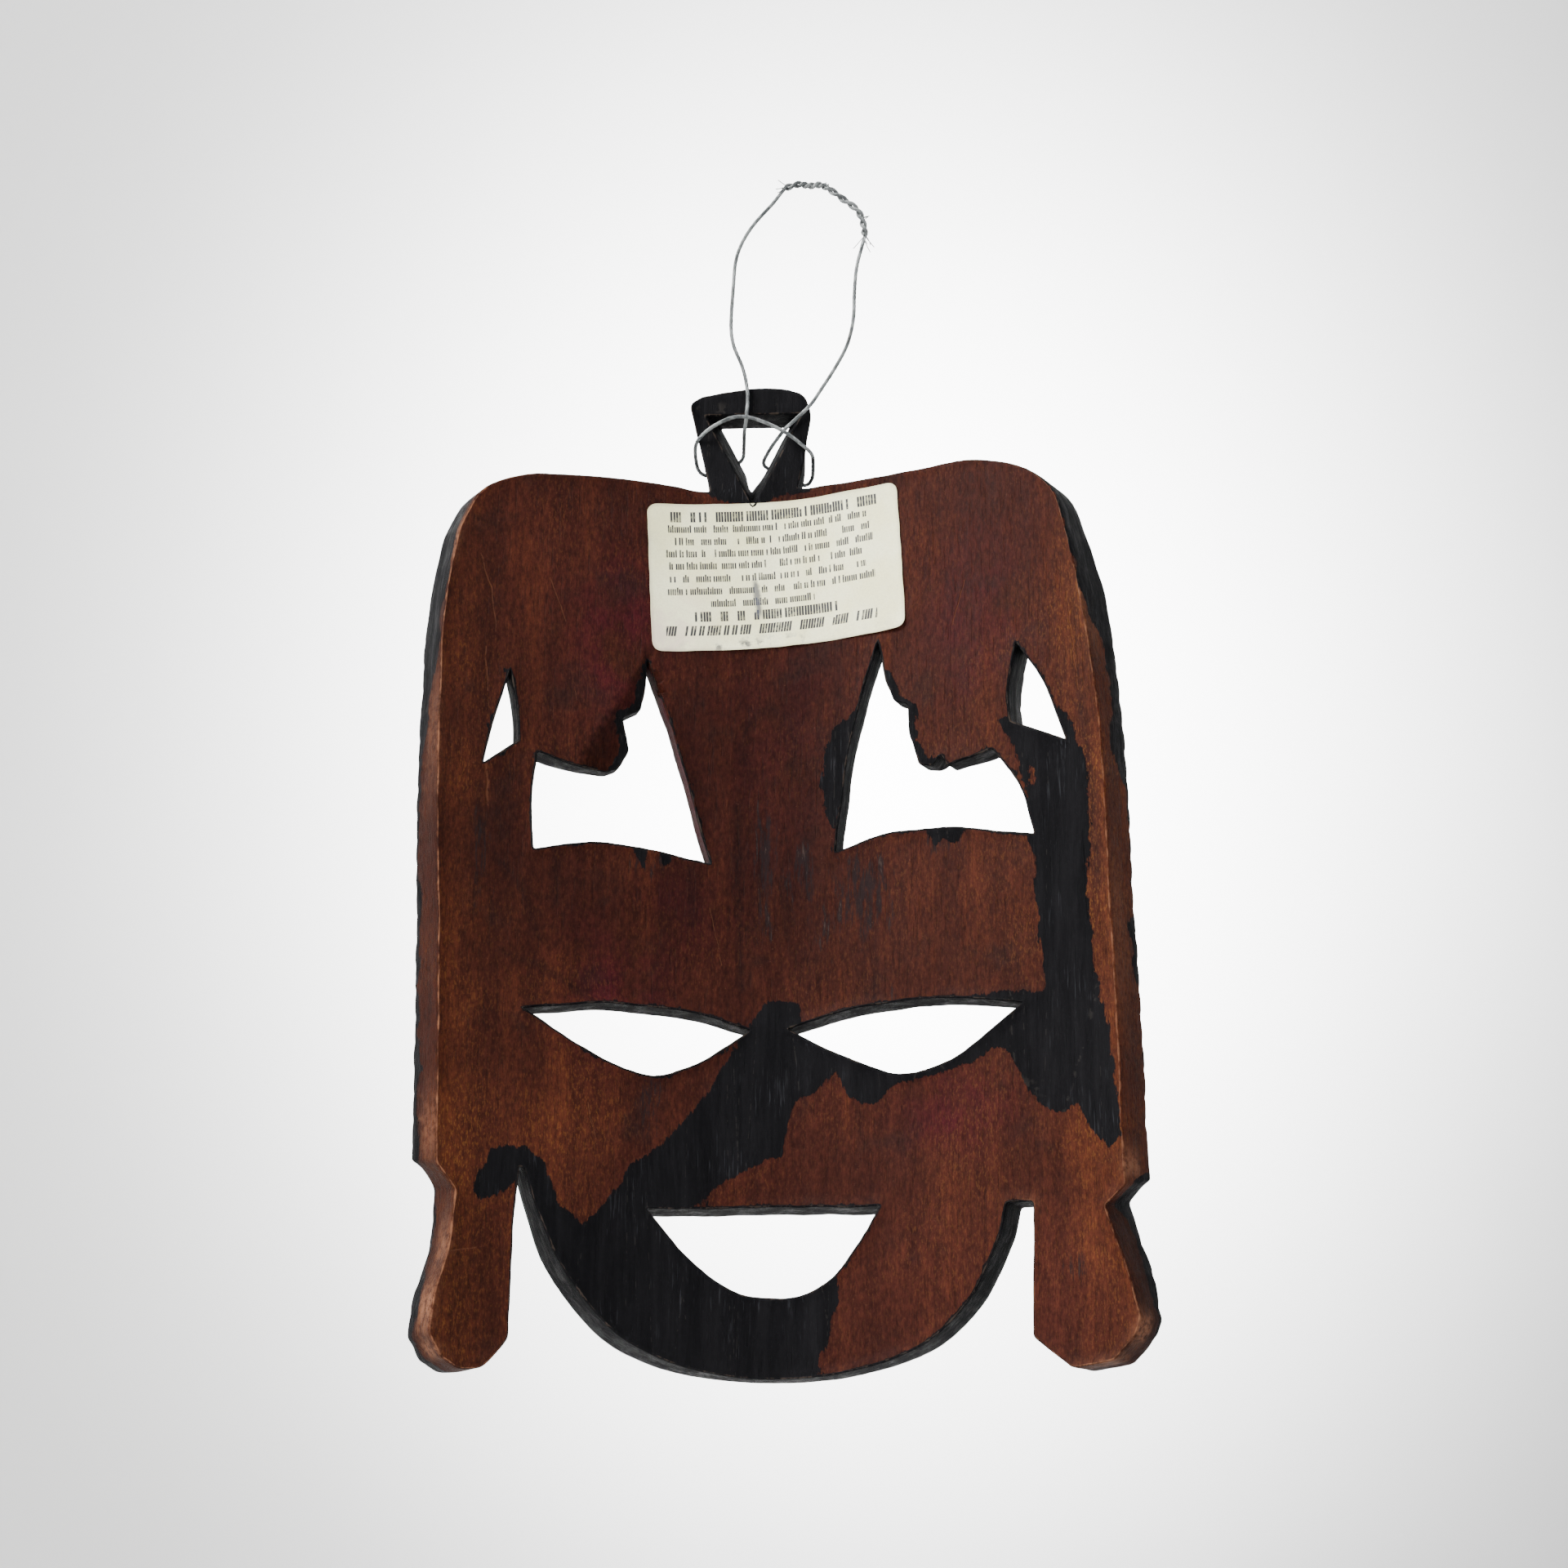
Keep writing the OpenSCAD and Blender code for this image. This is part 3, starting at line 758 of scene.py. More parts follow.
def worn_field(b):
    """Where the outer edge is rubbed down to pale wood."""
    worn = strongest(b, WORN_PLACES)
    return np.where(b.on_wall & b.outline, worn * (b.from_back < 9),
                    worn * np.exp(-b.edge_gap / 1.2) * 0.7)


def height_field(b):
    """How far a place of the face stands above the places round it."""
    soft = 0
    for way in ((2.4, 2.4), (-2.4, -2.4), (2.4, -2.4), (-2.4, 2.4)):
        soft = soft + face_relief(b.flat + np.array(way)) * 0.25
    return face_relief(b.flat) - soft


def build_board():
    points, faces, on_face_side, b = board_mesh()
    obj = new_mesh("carved_board", points, faces)
    print("board:", len(points), "points", len(faces), "faces")
    mesh = obj.data
    # one wall of the left window is bare of paint and stained red
    b.bare_wall = b.on_wall & (b.nearest == 1) & (b.x < 44.6) & (b.z > -21)
    outer = np.where(b.outline, np.where(np.abs(b.x) > CHIN_HALF, 1.0, 0.55), 0.12)
    add_field(mesh, "edge_gap", np.where(b.on_wall, np.minimum(b.from_back, b.from_face), b.edge_gap))
    add_field(mesh, "worn", worn_field(b))
    add_field(mesh, "paint", paint_field(b))
    add_field(mesh, "outer_edge", outer * (1 - b.knot))
    add_field(mesh, "tone", tone_field(b))
    add_field(mesh, "wine", np.where(b.bare_wall & (b.from_back > 0.5), 1.0,
                                     strongest(b, WINE_STAINS) * b.on_back))
    # painted light and shade, together with the wood's own lighter and darker places
    add_field(mesh, "shade", painted_light_and_tone_field(b))
    add_field(mesh, "wall", b.on_wall)
    add_field(mesh, "scuff", strongest(b, SCUFFS) * b.on_back)
    add_field(mesh, "smudge", smudge_field(b) * b.on_back)
    add_field(mesh, "height", height_field(b))
    # face side: signed distances to the painted bands
    m = np.stack([np.abs(b.x), b.z], 1)
    red = np.minimum(patch_field(b.flat, [rounded(LIPS)]), patch_field(m, [rounded(HEAD)]))
    ochre = patch_field(m, [rounded(BROW), rounded(EAR_STRIP)])
    band = np.maximum(np.abs(b.z - BAND_Z) - BAND_HALF, np.maximum(44 - m[:, 0], m[:, 0] - 99))
    add_field(mesh, "red_band", red)
    add_field(mesh, "ochre_band", np.minimum(ochre, band))
    mesh.materials.append(stained_wood())
    mesh.materials.append(painted_face())
    mesh.polygons.foreach_set("material_index", on_face_side)
    mesh.update()
    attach(obj, "mask")
    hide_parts("mask_board")


# ---------------------------------------------------------------- material tools
def linear(r, g, b):
    """A colour as one reads it off a paint card (0 to 255), made linear."""
    out = []
    for v in (r, g, b):
        v /= 255
        out.append(v / 12.92 if v <= 0.04045 else ((v + 0.055) / 1.055) ** 2.4)
    return (*out, 1.0)


class Graph:
    """Short words for making nodes; every value may be a number, a colour or a socket."""

    def __init__(self, tree):
        self.tree = tree

    def node(self, kind, **settings):
        made = self.tree.nodes.new(kind)
        for key, value in settings.items():
            setattr(made, key, value)
        return made

    def put(self, socket, value):
        if value is None:
            return
        if isinstance(value, bpy.types.NodeSocket):
            self.tree.links.new(value, socket)
        else:
            socket.default_value = value

    def math(self, operation, a, b=None, c=None, clamp=False):
        made = self.node("ShaderNodeMath", operation=operation, use_clamp=clamp)
        for socket, value in zip(made.inputs, (a, b, c)):
            self.put(socket, value)
        return made.outputs[0]

    def times(self, a, b):
        return self.math("MULTIPLY", a, b)

    def plus(self, a, b, clamp=False):
        return self.math("ADD", a, b, clamp=clamp)

    def minus(self, a, b):
        return self.math("SUBTRACT", a, b)

    def vector(self, operation, a, b=None, c=None):
        made = self.node("ShaderNodeVectorMath", operation=operation)
        for socket, value in zip(made.inputs, (a, b, c)):
            self.put(socket, value)
        return made.outputs[0]

    def stretched(self, vector, amount):
        made = self.node("ShaderNodeVectorMath", operation="SCALE")
        self.put(made.inputs[0], vector)
        self.put(made.inputs["Scale"], amount)
        return made.outputs[0]

    def mix(self, share, a, b, blend="MIX"):
        made = self.node("ShaderNodeMix", data_type="RGBA", blend_type=blend)
        self.put(made.inputs["Factor"], share)
        self.put(made.inputs[6], a)
        self.put(made.inputs[7], b)
        return made.outputs[2]

    def between(self, share, a, b):
        made = self.node("ShaderNodeMix", data_type="FLOAT")
        for k, value in enumerate((share, None, a, b)):
            self.put(made.inputs[k], value)
        return made.outputs[0]

    def step(self, value, low, high, out_low=0.0, out_high=1.0):
        made = self.node("ShaderNodeMapRange", interpolation_type="SMOOTHSTEP")
        for name, v in (("Value", value), ("From Min", low), ("From Max", high),
                        ("To Min", out_low), ("To Max", out_high)):
            self.put(made.inputs[name], v)
        return made.outputs[0]

    def scaled(self, vector, scale):
        return self.vector("MULTIPLY", vector, scale)

    def noise(self, vector, scale, detail=3.0, rough=0.55):
        made = self.node("ShaderNodeTexNoise")
        self.put(made.inputs["Vector"], vector)
        for name, v in (("Scale", scale), ("Detail", detail), ("Roughness", rough)):
            self.put(made.inputs[name], v)
        return made.outputs[0]

    def attribute(self, name):
        return self.node("ShaderNodeAttribute", attribute_name=name).outputs["Fac"]

    def place(self):
        return self.node("ShaderNodeTexCoord").outputs["Object"]

    def group(self, tree, **values):
        made = self.node("ShaderNodeGroup", node_tree=tree)
        for name, value in values.items():
            self.put(made.inputs[name.replace("_", " ")], value)
        return made.outputs


GROUPS = {}


def shared(name, inputs, outputs, build):
    """A shader node group, built once."""
    if name not in GROUPS:
        tree = bpy.data.node_groups.new(name, "ShaderNodeTree")
        for word, kind, default in inputs:
            socket = tree.interface.new_socket(word, in_out="INPUT", socket_type="NodeSocket" + kind)
            if default is not None:
                socket.default_value = default
        for word, kind in outputs:
            tree.interface.new_socket(word, in_out="OUTPUT", socket_type="NodeSocket" + kind)
        g = Graph(tree)
        ins = g.node("NodeGroupInput").outputs
        outs = g.node("NodeGroupOutput").inputs
        build(g, ins, outs)
        GROUPS[name] = tree
    return GROUPS[name]


def grain_group():
    """Upright wood grain: streaks, pores, cloudy patches and a fine mottle."""
    def build(g, ins, outs):
        at = g.scaled(ins["Vector"], (1.0, 1.0, 0.085))
        bend = g.noise(ins["Vector"], 9.0, 2.0)
        moved = g.vector("MULTIPLY_ADD", bend, (0.012, 0.0, 0.0), at)
        broad = g.noise(moved, 120.0, 5.0, 0.62)
        fine = g.noise(moved, 620.0, 4.0, 0.7)
        g.put(outs["Streak"], g.plus(g.times(broad, 0.62), g.times(fine, 0.38)))
        thin = g.scaled(ins["Vector"], (1.0, 1.0, 0.05))
        g.put(outs["Pores"], g.step(g.noise(thin, 1500.0, 2.0, 0.5), 0.60, 0.70))
        g.put(outs["Patches"], g.noise(ins["Vector"], 22.0, 4.0, 0.6))
        fuzz = g.noise(g.scaled(ins["Vector"], (1.0, 1.0, 0.42)), 780.0, 5.0, 0.75)
        g.put(outs["Mottle"], g.step(fuzz, 0.30, 0.70))

    return shared("wood grain", [("Vector", "Vector", None)],
                  [("Streak", "Float"), ("Pores", "Float"), ("Patches", "Float"), ("Mottle", "Float")], build)


def ragged_group():
    """1 inside a painted or worn area whose edge is torn by noise (distances in mm)."""
    def build(g, ins, outs):
        big = g.noise(g.scaled(ins["Vector"], (1.0, 1.0, 0.6)), 260.0, 3.0, 0.6)
        small = g.noise(g.scaled(ins["Vector"], (1.0, 1.0, 0.22)), 1000.0, 4.0, 0.72)
        tear = g.plus(g.times(g.minus(big, 0.5), 4.0),
                      g.times(g.minus(small, 0.5), 3.2))
        moved = g.math("MULTIPLY_ADD", tear, ins["Tear"], ins["Distance"])
        g.put(outs["Mask"], g.step(moved, g.times(ins["Softness"], -1.0), ins["Softness"], 1.0, 0.0))

    return shared("ragged edge", [("Distance", "Float", 0.0), ("Tear", "Float", 1.0),
                                  ("Softness", "Float", 0.15), ("Vector", "Vector", None)],
                  [("Mask", "Float")], build)


def ragged(g, at, distance, tear, softness):
    """The mask of an area from the signed distance to it."""
    return g.group(ragged_group(), Distance=distance, Tear=tear, Softness=softness, Vector=at)["Mask"]


def scratch_group():
    """One thin scratch between two places on the back, broken here and there."""
    def build(g, ins, outs):
        wander = g.vector("MULTIPLY_ADD", g.noise(ins["Vector"], 120.0, 2.0), (0.0022, 0.0, 0.0),
                          ins["Vector"])
        on_board = (1.0, 0.0, 1.0)
        flat = g.scaled(g.vector("SUBTRACT", wander, ins["From"]), on_board)
        way = g.scaled(g.vector("SUBTRACT", ins["To"], ins["From"]), on_board)

        def measure(operation, a, b):
            made = g.node("ShaderNodeVectorMath", operation=operation)
            g.put(made.inputs[0], a)
            g.put(made.inputs[1], b)
            return made.outputs["Value"]

        along = g.math("DIVIDE", measure("DOT_PRODUCT", flat, way), measure("DOT_PRODUCT", way, way),
                       clamp=True)
        line = g.step(measure("DISTANCE", flat, g.stretched(way, along)), 0.0, ins["Width"], 1.0, 0.0)
        g.put(outs["Mask"], g.times(line, g.step(g.noise(ins["Vector"], 340.0, 3.0), 0.36, 0.52)))

    return shared("single scratch", [("Vector", "Vector", None), ("From", "Vector", None),
                                     ("To", "Vector", None), ("Width", "Float", 0.0004)],
                  [("Mask", "Float")], build)


def marks_group():
    """Thin scratches and small light specks."""
    def build(g, ins, outs):
        lines = None
        for turn, scale in ((0.35, 38.0), (-0.8, 30.0), (1.25, 26.0)):
            mapped = g.node("ShaderNodeMapping")
            g.put(mapped.inputs["Vector"], ins["Vector"])
            mapped.inputs["Rotation"].default_value = (0.0, turn, 0.0)
            mapped.inputs["Scale"].default_value = (1.0, 1.0, 0.06)
            edge = g.node("ShaderNodeTexVoronoi", feature="DISTANCE_TO_EDGE")
            g.put(edge.inputs["Vector"], mapped.outputs[0])
            g.put(edge.inputs["Scale"], scale)
            line = g.step(edge.outputs["Distance"], 0.0, 0.006, 1.0, 0.0)
            broken = g.step(g.noise(ins["Vector"], 55.0 + 9 * scale, 2.0), 0.52, 0.62)
            line = g.times(line, broken)
            lines = line if lines is None else g.math("MAXIMUM", lines, line)
        g.put(outs["Scratches"], lines)
        g.put(outs["Specks"], g.step(g.noise(ins["Vector"], 900.0, 2.0, 0.5), 0.70, 0.76))

    return shared("handling marks", [("Vector", "Vector", None)],
                  [("Scratches", "Float"), ("Specks", "Float")], build)


def new_material(name):
    """An empty material with its shader."""
    material = bpy.data.materials.new(name)
    material.use_nodes = True
    tree = material.node_tree
    tree.nodes.clear()
    g = Graph(tree)
    shader = g.node("ShaderNodeBsdfPrincipled")
    out = g.node("ShaderNodeOutputMaterial")
    tree.links.new(shader.outputs[0], out.inputs["Surface"])
    return material, g, shader


def bumped(g, shader, height, distance, strength):
    """Fine surface relief."""
    bump = g.node("ShaderNodeBump")
    bump.inputs["Strength"].default_value = strength
    bump.inputs["Distance"].default_value = distance
    g.put(bump.inputs["Height"], height)
    g.put(shader.inputs["Normal"], bump.outputs[0])


# Old scratches on the back: from, to (mm on the board) and width
BACK_SCRATCHES = [
    ((103, 84), (99, 70), 0.4), ((99, 70), (97.5, 56), 0.35), ((101, 50), (99.5, 34), 0.4),
    ((91, 34), (90, 14), 0.45), ((80, 78), (74, 62), 0.3), ((72, 44), (70, 34), 0.3),
    ((-66, 76), (-61, 60), 0.3), ((106, -160), (96, -158), 0.4), ((-101, 66), (-104, 30), 0.35),
    ((99.6, 8), (98.8, -7), 0.7), ((24, -38), (20, -58), 0.25), ((-104, -20), (-105, -52), 0.35),
    ((64, -108), (61, -122), 0.3)]
# Wood colours (linear), dark to light
DEEP, PLAIN, WARM = (0.021, 0.0056, 0.0042, 1), (0.034, 0.0090, 0.0060, 1), (0.070, 0.0190, 0.0082, 1)
ORANGE, WINE, SPARK = (0.042, 0.0115, 0.0055, 1), (0.036, 0.0048, 0.0085, 1), (0.155, 0.058, 0.014, 1)
SMUDGED, CLOUDED, PORE = (0.009, 0.004, 0.0042, 1), (0.012, 0.0065, 0.0062, 1), (0.007, 0.004, 0.0038, 1)
SCUFFED, SCUFF_TIPS = (0.0105, 0.0074, 0.0082, 1), (0.085, 0.055, 0.042, 1)
SPECK, SCRATCH = (0.10, 0.04, 0.024, 1), (0.12, 0.046, 0.022, 1)
WORN_WOOD, RUBBED_WOOD = (0.19, 0.082, 0.045, 1), (0.20, 0.085, 0.045, 1)
# Black paint and what shows on it
BLACK, WORN_BLACK = (0.0028, 0.0028, 0.0034, 1), (0.0070, 0.0068, 0.0078, 1)
BRUSHED_BLACK, SCRATCHED_BLACK = (0.034, 0.035, 0.040, 1), (0.045, 0.04, 0.035, 1)
CHIPPED_BLACK = (0.06, 0.044, 0.034, 1)


def scratches(g, at):
    """The mask of every old scratch on the back."""
    cuts = None
    for start, end, width in BACK_SCRATCHES:
        line = g.group(scratch_group(), Vector=at, From=tuple(place((start[0], 0, start[1]))),
                       To=tuple(place((end[0], 0, end[1]))), Width=width * MM)["Mask"]
        cuts = line if cuts is None else g.math("MAXIMUM", cuts, line)
    return cuts


def bare_wood(g, at, grain, marks, cuts):
    """The colour of the stained wood."""
    streak, patches, tone = grain["Streak"], grain["Patches"], g.attribute("tone")
    brown = g.mix(g.step(streak, 0.38, 0.60), DEEP, PLAIN)
    brown = g.mix(g.step(streak, 0.52, 0.74, 0.0, 0.55), brown, WARM)
    brown = g.mix(g.times(tone, 0.62), brown, g.mix(g.step(streak, 0.38, 0.62), ORANGE, WARM))
    brown = g.mix(g.step(patches, 0.44, 0.66, 0.0, 0.55), brown, DEEP)
    # stains and clouds
    wine = g.times(g.attribute("wine"), g.step(g.noise(at, 60.0, 4.0), 0.30, 0.62))
    brown = g.mix(wine, brown, WINE)
    brown = g.mix(g.times(g.attribute("smudge"), 0.6), brown, SMUDGED)
    brown = g.mix(g.step(g.noise(at, 46.0, 4.0, 0.62), 0.54, 0.72, 0.0, 0.5), brown, CLOUDED)
    # fine mottle and light sparks in the grain
    mottle = g.mix(grain["Mottle"], (0.62, 0.62, 0.66, 1), (1.42, 1.36, 1.24, 1))
    brown = g.mix(1.0, brown, mottle, "MULTIPLY")
    sparks = g.step(g.noise(g.scaled(at, (1.0, 1.0, 0.35)), 1700.0, 3.0, 0.65), 0.50, 0.66)
    sparks = g.times(sparks, g.step(patches, 0.34, 0.62, 0.75, 0.25))
    brown = g.mix(g.times(sparks, g.math("MULTIPLY_ADD", tone, 0.5, 0.22)), brown, SPARK)
    # painted light and shade, together with the wood's own lighter and darker places
    brown = g.mix(1.0, brown, g.attribute("shade"), "MULTIPLY")
    # scuffs, torn along the grain, with light tips
    torn, scuff = g.noise(g.scaled(at, (1.0, 1.0, 0.13)), 560.0, 5.0, 0.72), g.attribute("scuff")
    dark = g.step(g.math("MULTIPLY_ADD", torn, 4.5, scuff), 2.85, 3.2, 0.0, 0.8)
    brown = g.mix(g.times(dark, g.step(scuff, 0.05, 0.4)), brown, SCUFFED)
    tips = g.times(g.step(torn, 0.61, 0.68), g.step(scuff, 0.2, 0.7))
    brown = g.mix(g.times(tips, 0.5), brown, SCUFF_TIPS)
    brown = g.mix(g.times(grain["Pores"], 0.22), brown, PORE)
    brown = g.mix(g.times(marks["Specks"], 0.22), brown, SPECK)
    brown = g.mix(g.times(cuts, 0.42), brown, SCRATCH)
    # pale wood where the edges have been rubbed
    worn = g.times(g.attribute("worn"), g.step(g.noise(at, 420.0, 4.0, 0.7), 0.36, 0.60, 0.15, 0.85))
    brown = g.mix(worn, brown, WORN_WOOD)
    rub = ragged(g, at, g.minus(g.attribute("edge_gap"), 0.12), 0.34, 0.25)
    rub = g.times(rub, g.attribute("outer_edge"))
    return g.mix(g.times(rub, 0.75), brown, RUBBED_WOOD)


def black_paint(g, at, grain, marks):
    """The colour of the black paint, brushed along the grain and chipped at its edges."""
    dark = g.mix(g.step(grain["Streak"], 0.35, 0.7), BLACK, WORN_BLACK)
    brushed = g.step(g.noise(g.scaled(at, (1.0, 1.0, 0.05)), 1300.0, 3.0, 0.6), 0.58, 0.68)
    brushed = g.times(brushed, g.step(g.noise(at, 38.0, 3.0), 0.48, 0.62))
    dark = g.mix(g.times(brushed, 0.4), dark, BRUSHED_BLACK)
    dark = g.mix(g.times(marks["Scratches"], 0.22), dark, SCRATCHED_BLACK)
    chip = ragged(g, at, g.minus(g.attribute("edge_gap"), 0.05), 0.5, 0.12)
    return g.mix(g.times(chip, 0.5), dark, CHIPPED_BLACK)


def stained_wood():
    material, g, shader = new_material("stained_wood")
    at = g.place()
    grain = g.group(grain_group(), Vector=at)
    marks = g.group(marks_group(), Vector=at)
    streak, cuts = grain["Streak"], scratches(g, at)
    covered = ragged(g, at, g.attribute("paint"), 1.05, 0.16)
    g.put(shader.inputs["Base Color"], g.mix(covered, bare_wood(g, at, grain, marks, cuts),
                                             black_paint(g, at, grain, marks)))
    # the paint is dull on the back and satin on the sawn walls
    paint_rough = g.between(g.attribute("wall"), 0.74, g.step(streak, 0.42, 0.62, 0.58, 0.32))
    wood_rough = g.step(streak, 0.3, 0.7, 0.40, 0.60)
    g.put(shader.inputs["Roughness"], g.between(covered, wood_rough, paint_rough))
    shader.inputs["Specular IOR Level"].default_value = 0.038
    height = g.times(streak, 0.6)
    for part, amount in ((grain["Pores"], -0.5), (covered, 0.35), (grain["Mottle"], 0.3), (cuts, -1.0)):
        height = g.plus(height, g.times(part, amount))
    bumped(g, shader, height, 0.5 * MM, 0.6)
    return material


def painted_face():
    material, g, shader = new_material("painted_carving")
    at = g.place()
    grain = g.group(grain_group(), Vector=at)
    marks = g.group(marks_group(), Vector=at)
    gap, high = g.attribute("edge_gap"), g.attribute("height")
    even = g.step(grain["Streak"], 0.3, 0.7)
    colour = g.mix(even, (0.0045, 0.0043, 0.005, 1), (0.0105, 0.0095, 0.0098, 1))
    red = ragged(g, at, g.plus(g.attribute("red_band"), 0.6), 0.22, 0.15)
    ochre = ragged(g, at, g.plus(g.attribute("ochre_band"), 0.6), 0.22, 0.15)
    colour = g.mix(red, colour, g.mix(even, (0.052, 0.0062, 0.0048, 1), (0.105, 0.0135, 0.0085, 1)))
    colour = g.mix(ochre, colour, g.mix(even, (0.15, 0.062, 0.0105, 1), (0.26, 0.125, 0.026, 1)))
    rub = g.times(g.step(high, 0.25, 1.1), g.step(g.noise(at, 210.0, 4.0, 0.65), 0.50, 0.62))
    rub = g.math("MAXIMUM", rub, ragged(g, at, g.minus(gap, 0.3), 0.45, 0.2))
    wood = g.mix(even, (0.036, 0.0115, 0.0072, 1), (0.12, 0.048, 0.024, 1))
    colour = g.mix(g.times(rub, 0.7), colour, wood)
    colour = g.mix(g.step(high, -0.8, -0.2, 0.2, 0.0), colour, (0.06, 0.048, 0.038, 1))
    colour = g.mix(g.times(marks["Scratches"], 0.3), colour, (0.10, 0.07, 0.05, 1))
    g.put(shader.inputs["Base Color"], colour)
    g.put(shader.inputs["Roughness"], g.step(grain["Patches"], 0.35, 0.65, 0.36, 0.55))
    shader.inputs["Specular IOR Level"].default_value = 0.16
    height = g.plus(g.times(grain["Streak"], 0.6), g.times(grain["Pores"], -0.5))
    bumped(g, shader, height, 0.4 * MM, 0.5)
    return material


def steel_strands():
    material, g, shader = new_material("dull_steel")
    at = g.place()
    tarnish = g.noise(at, 260.0, 4.0, 0.65)
    colour = g.mix(g.step(tarnish, 0.35, 0.65), (0.075, 0.082, 0.084, 1), (0.27, 0.285, 0.285, 1))
    colour = g.mix(g.step(g.noise(at, 90.0, 3.0), 0.58, 0.72, 0.0, 0.6), colour, (0.03, 0.026, 0.022, 1))
    g.put(shader.inputs["Base Color"], colour)
    shader.inputs["Metallic"].default_value = 0.6
    g.put(shader.inputs["Roughness"], g.step(tarnish, 0.3, 0.7, 0.38, 0.6))
    bumped(g, shader, tarnish, 0.1 * MM, 0.4)
    return material


# Rows of strokes on the label (mm): middle from the top, half height, start and end across, pitch,
# and how heavy they are
PRINT_ROWS = [
    (4.8, 1.95, 7, 82, 3.0, 0.95), (9.3, 1.45, 5, 79, 2.3, 0.7), (14.0, 1.45, 7, 79, 2.3, 0.7),
    (18.6, 1.45, 6, 80, 2.3, 0.7), (23.2, 1.45, 7, 76, 2.3, 0.7), (28.0, 1.45, 7, 77, 2.3, 0.7),
    (32.7, 1.45, 6, 80, 2.3, 0.7), (37.4, 1.45, 21, 58, 2.3, 0.7), (42.4, 1.85, 15, 68, 3.0, 0.95),
    (47.6, 1.85, 5, 80, 2.9, 0.95)]
SLANTED_ROW = len(PRINT_ROWS) - 1


def print_row(g, across, down, row, number):
    """Plain upright strokes in clusters, which say nothing."""
    middle, half, start, end, pitch, weight = row
    y = g.math("DIVIDE", g.minus(middle, down), half)
    slant = 0.35 if number == SLANTED_ROW else 0.0
    x = g.math("DIVIDE", g.math("MULTIPLY_ADD", y, -slant, across), pitch)
    cell, inner = g.math("FLOOR", x), g.math("FRACT", x)
    pick = g.node("ShaderNodeTexWhiteNoise", noise_dimensions="1D")
    g.put(pick.inputs["W"], g.plus(cell, 53.7 * number + 3.1))
    parts = g.node("ShaderNodeSeparateColor")
    g.put(parts.inputs[0], pick.outputs["Color"])
    r1, r2, r3 = parts.outputs
    thick = 0.105 + 0.03 * weight
    ink = None
    for centre, least, tall in ((0.18, 0.06, r1), (0.50, 0.30, r2), (0.82, 0.12, r3)):
        near = g.math("ABSOLUTE", g.minus(inner, centre))
        near = g.step(near, thick * 0.7, thick * 1.25, 1.0, 0.0)
        near = g.times(near, g.math("GREATER_THAN", tall, least))
        full = g.math("GREATER_THAN", tall, 0.74 - 0.6 * (weight > 0.8))
        top = g.math("MULTIPLY_ADD", full, 0.45, 0.55)
        near = g.times(near, g.math("LESS_THAN", y, top))
        ink = near if ink is None else g.math("MAXIMUM", ink, near)
    filled_cell = g.math("GREATER_THAN", g.math("FRACT", g.math("MULTIPLY_ADD", r3, 7.0, r1)), 0.15)
    ink = g.times(ink, filled_cell)
    ink = g.times(ink, g.step(g.math("ABSOLUTE", y), 0.95, 1.05, 1.0, 0.0))
    ink = g.times(ink, g.math("GREATER_THAN", across, start))
    return g.times(ink, g.math("LESS_THAN", across, end))


def aged_paper():
    material, g, shader = new_material("aged_paper")
    at = g.place()
    across, down = g.attribute("across"), g.attribute("down")
    fibre = g.noise(at, 1400.0, 4.0, 0.7)
    cloud = g.noise(at, 70.0, 4.0, 0.6)
    paper = g.mix(g.step(cloud, 0.35, 0.68), (1.0, 0.985, 0.66, 1), (0.93, 0.90, 0.52, 1))
    paper = g.mix(g.step(fibre, 0.35, 0.7, 0.0, 0.35), paper, (0.68, 0.64, 0.36, 1))
    pink = g.times(g.step(across, 3.0, 30.0, 1.0, 0.0), g.step(down, 20.0, 46.0))
    pink = g.times(pink, g.step(cloud, 0.38, 0.6))
    paper = g.mix(g.times(pink, 0.5), paper, linear(226, 196, 200))
    ink = None
    for number, row in enumerate(PRINT_ROWS):
        mark = print_row(g, across, down, row, number)
        ink = mark if ink is None else g.plus(ink, mark, clamp=True)
    faded = g.step(g.noise(at, 520.0, 3.0, 0.6), 0.30, 0.5, 0.75, 1.0)
    paper = g.mix(g.times(ink, faded), paper, linear(34, 34, 38))
    # a grey upright smudge, and stains along the bottom
    lean = g.math("MULTIPLY_ADD", g.minus(down, 36.0), -0.1, across)
    lean = g.math("ABSOLUTE", g.minus(lean, 37.5))
    lean = g.math("MULTIPLY_ADD", g.minus(g.noise(at, 330.0, 3.0), 0.5), 2.4, lean)
    smudge = g.times(g.step(lean, 0.4, 1.8, 1.0, 0.0),
                     g.times(g.step(down, 28.0, 31.0), g.step(down, 41.0, 45.0, 1.0, 0.0)))
    paper = g.mix(g.times(smudge, 0.85), paper, linear(64, 66, 82))
    low = g.times(g.step(down, 49.0, 53.5), g.step(g.noise(at, 160.0, 4.0, 0.65), 0.50, 0.64))
    from_middle = g.math("ABSOLUTE", g.minus(across, 36.0))
    low = g.times(low, g.step(from_middle, 8.0, 26.0, 1.0, 0.15))
    paper = g.mix(g.times(low, 0.95), paper, linear(66, 66, 76))
    rim = g.attribute("rim")
    paper = g.mix(g.step(rim, 0.1, 1.4, 0.35, 0.0), paper, linear(176, 164, 138))
    g.put(shader.inputs["Base Color"], paper)
    shader.inputs["Roughness"].default_value = 0.62
    height = g.plus(g.times(fibre, 0.3), g.times(g.noise(at, 190.0, 3.0), 0.8))
    bumped(g, shader, height, 0.4 * MM, 0.5)
    return material


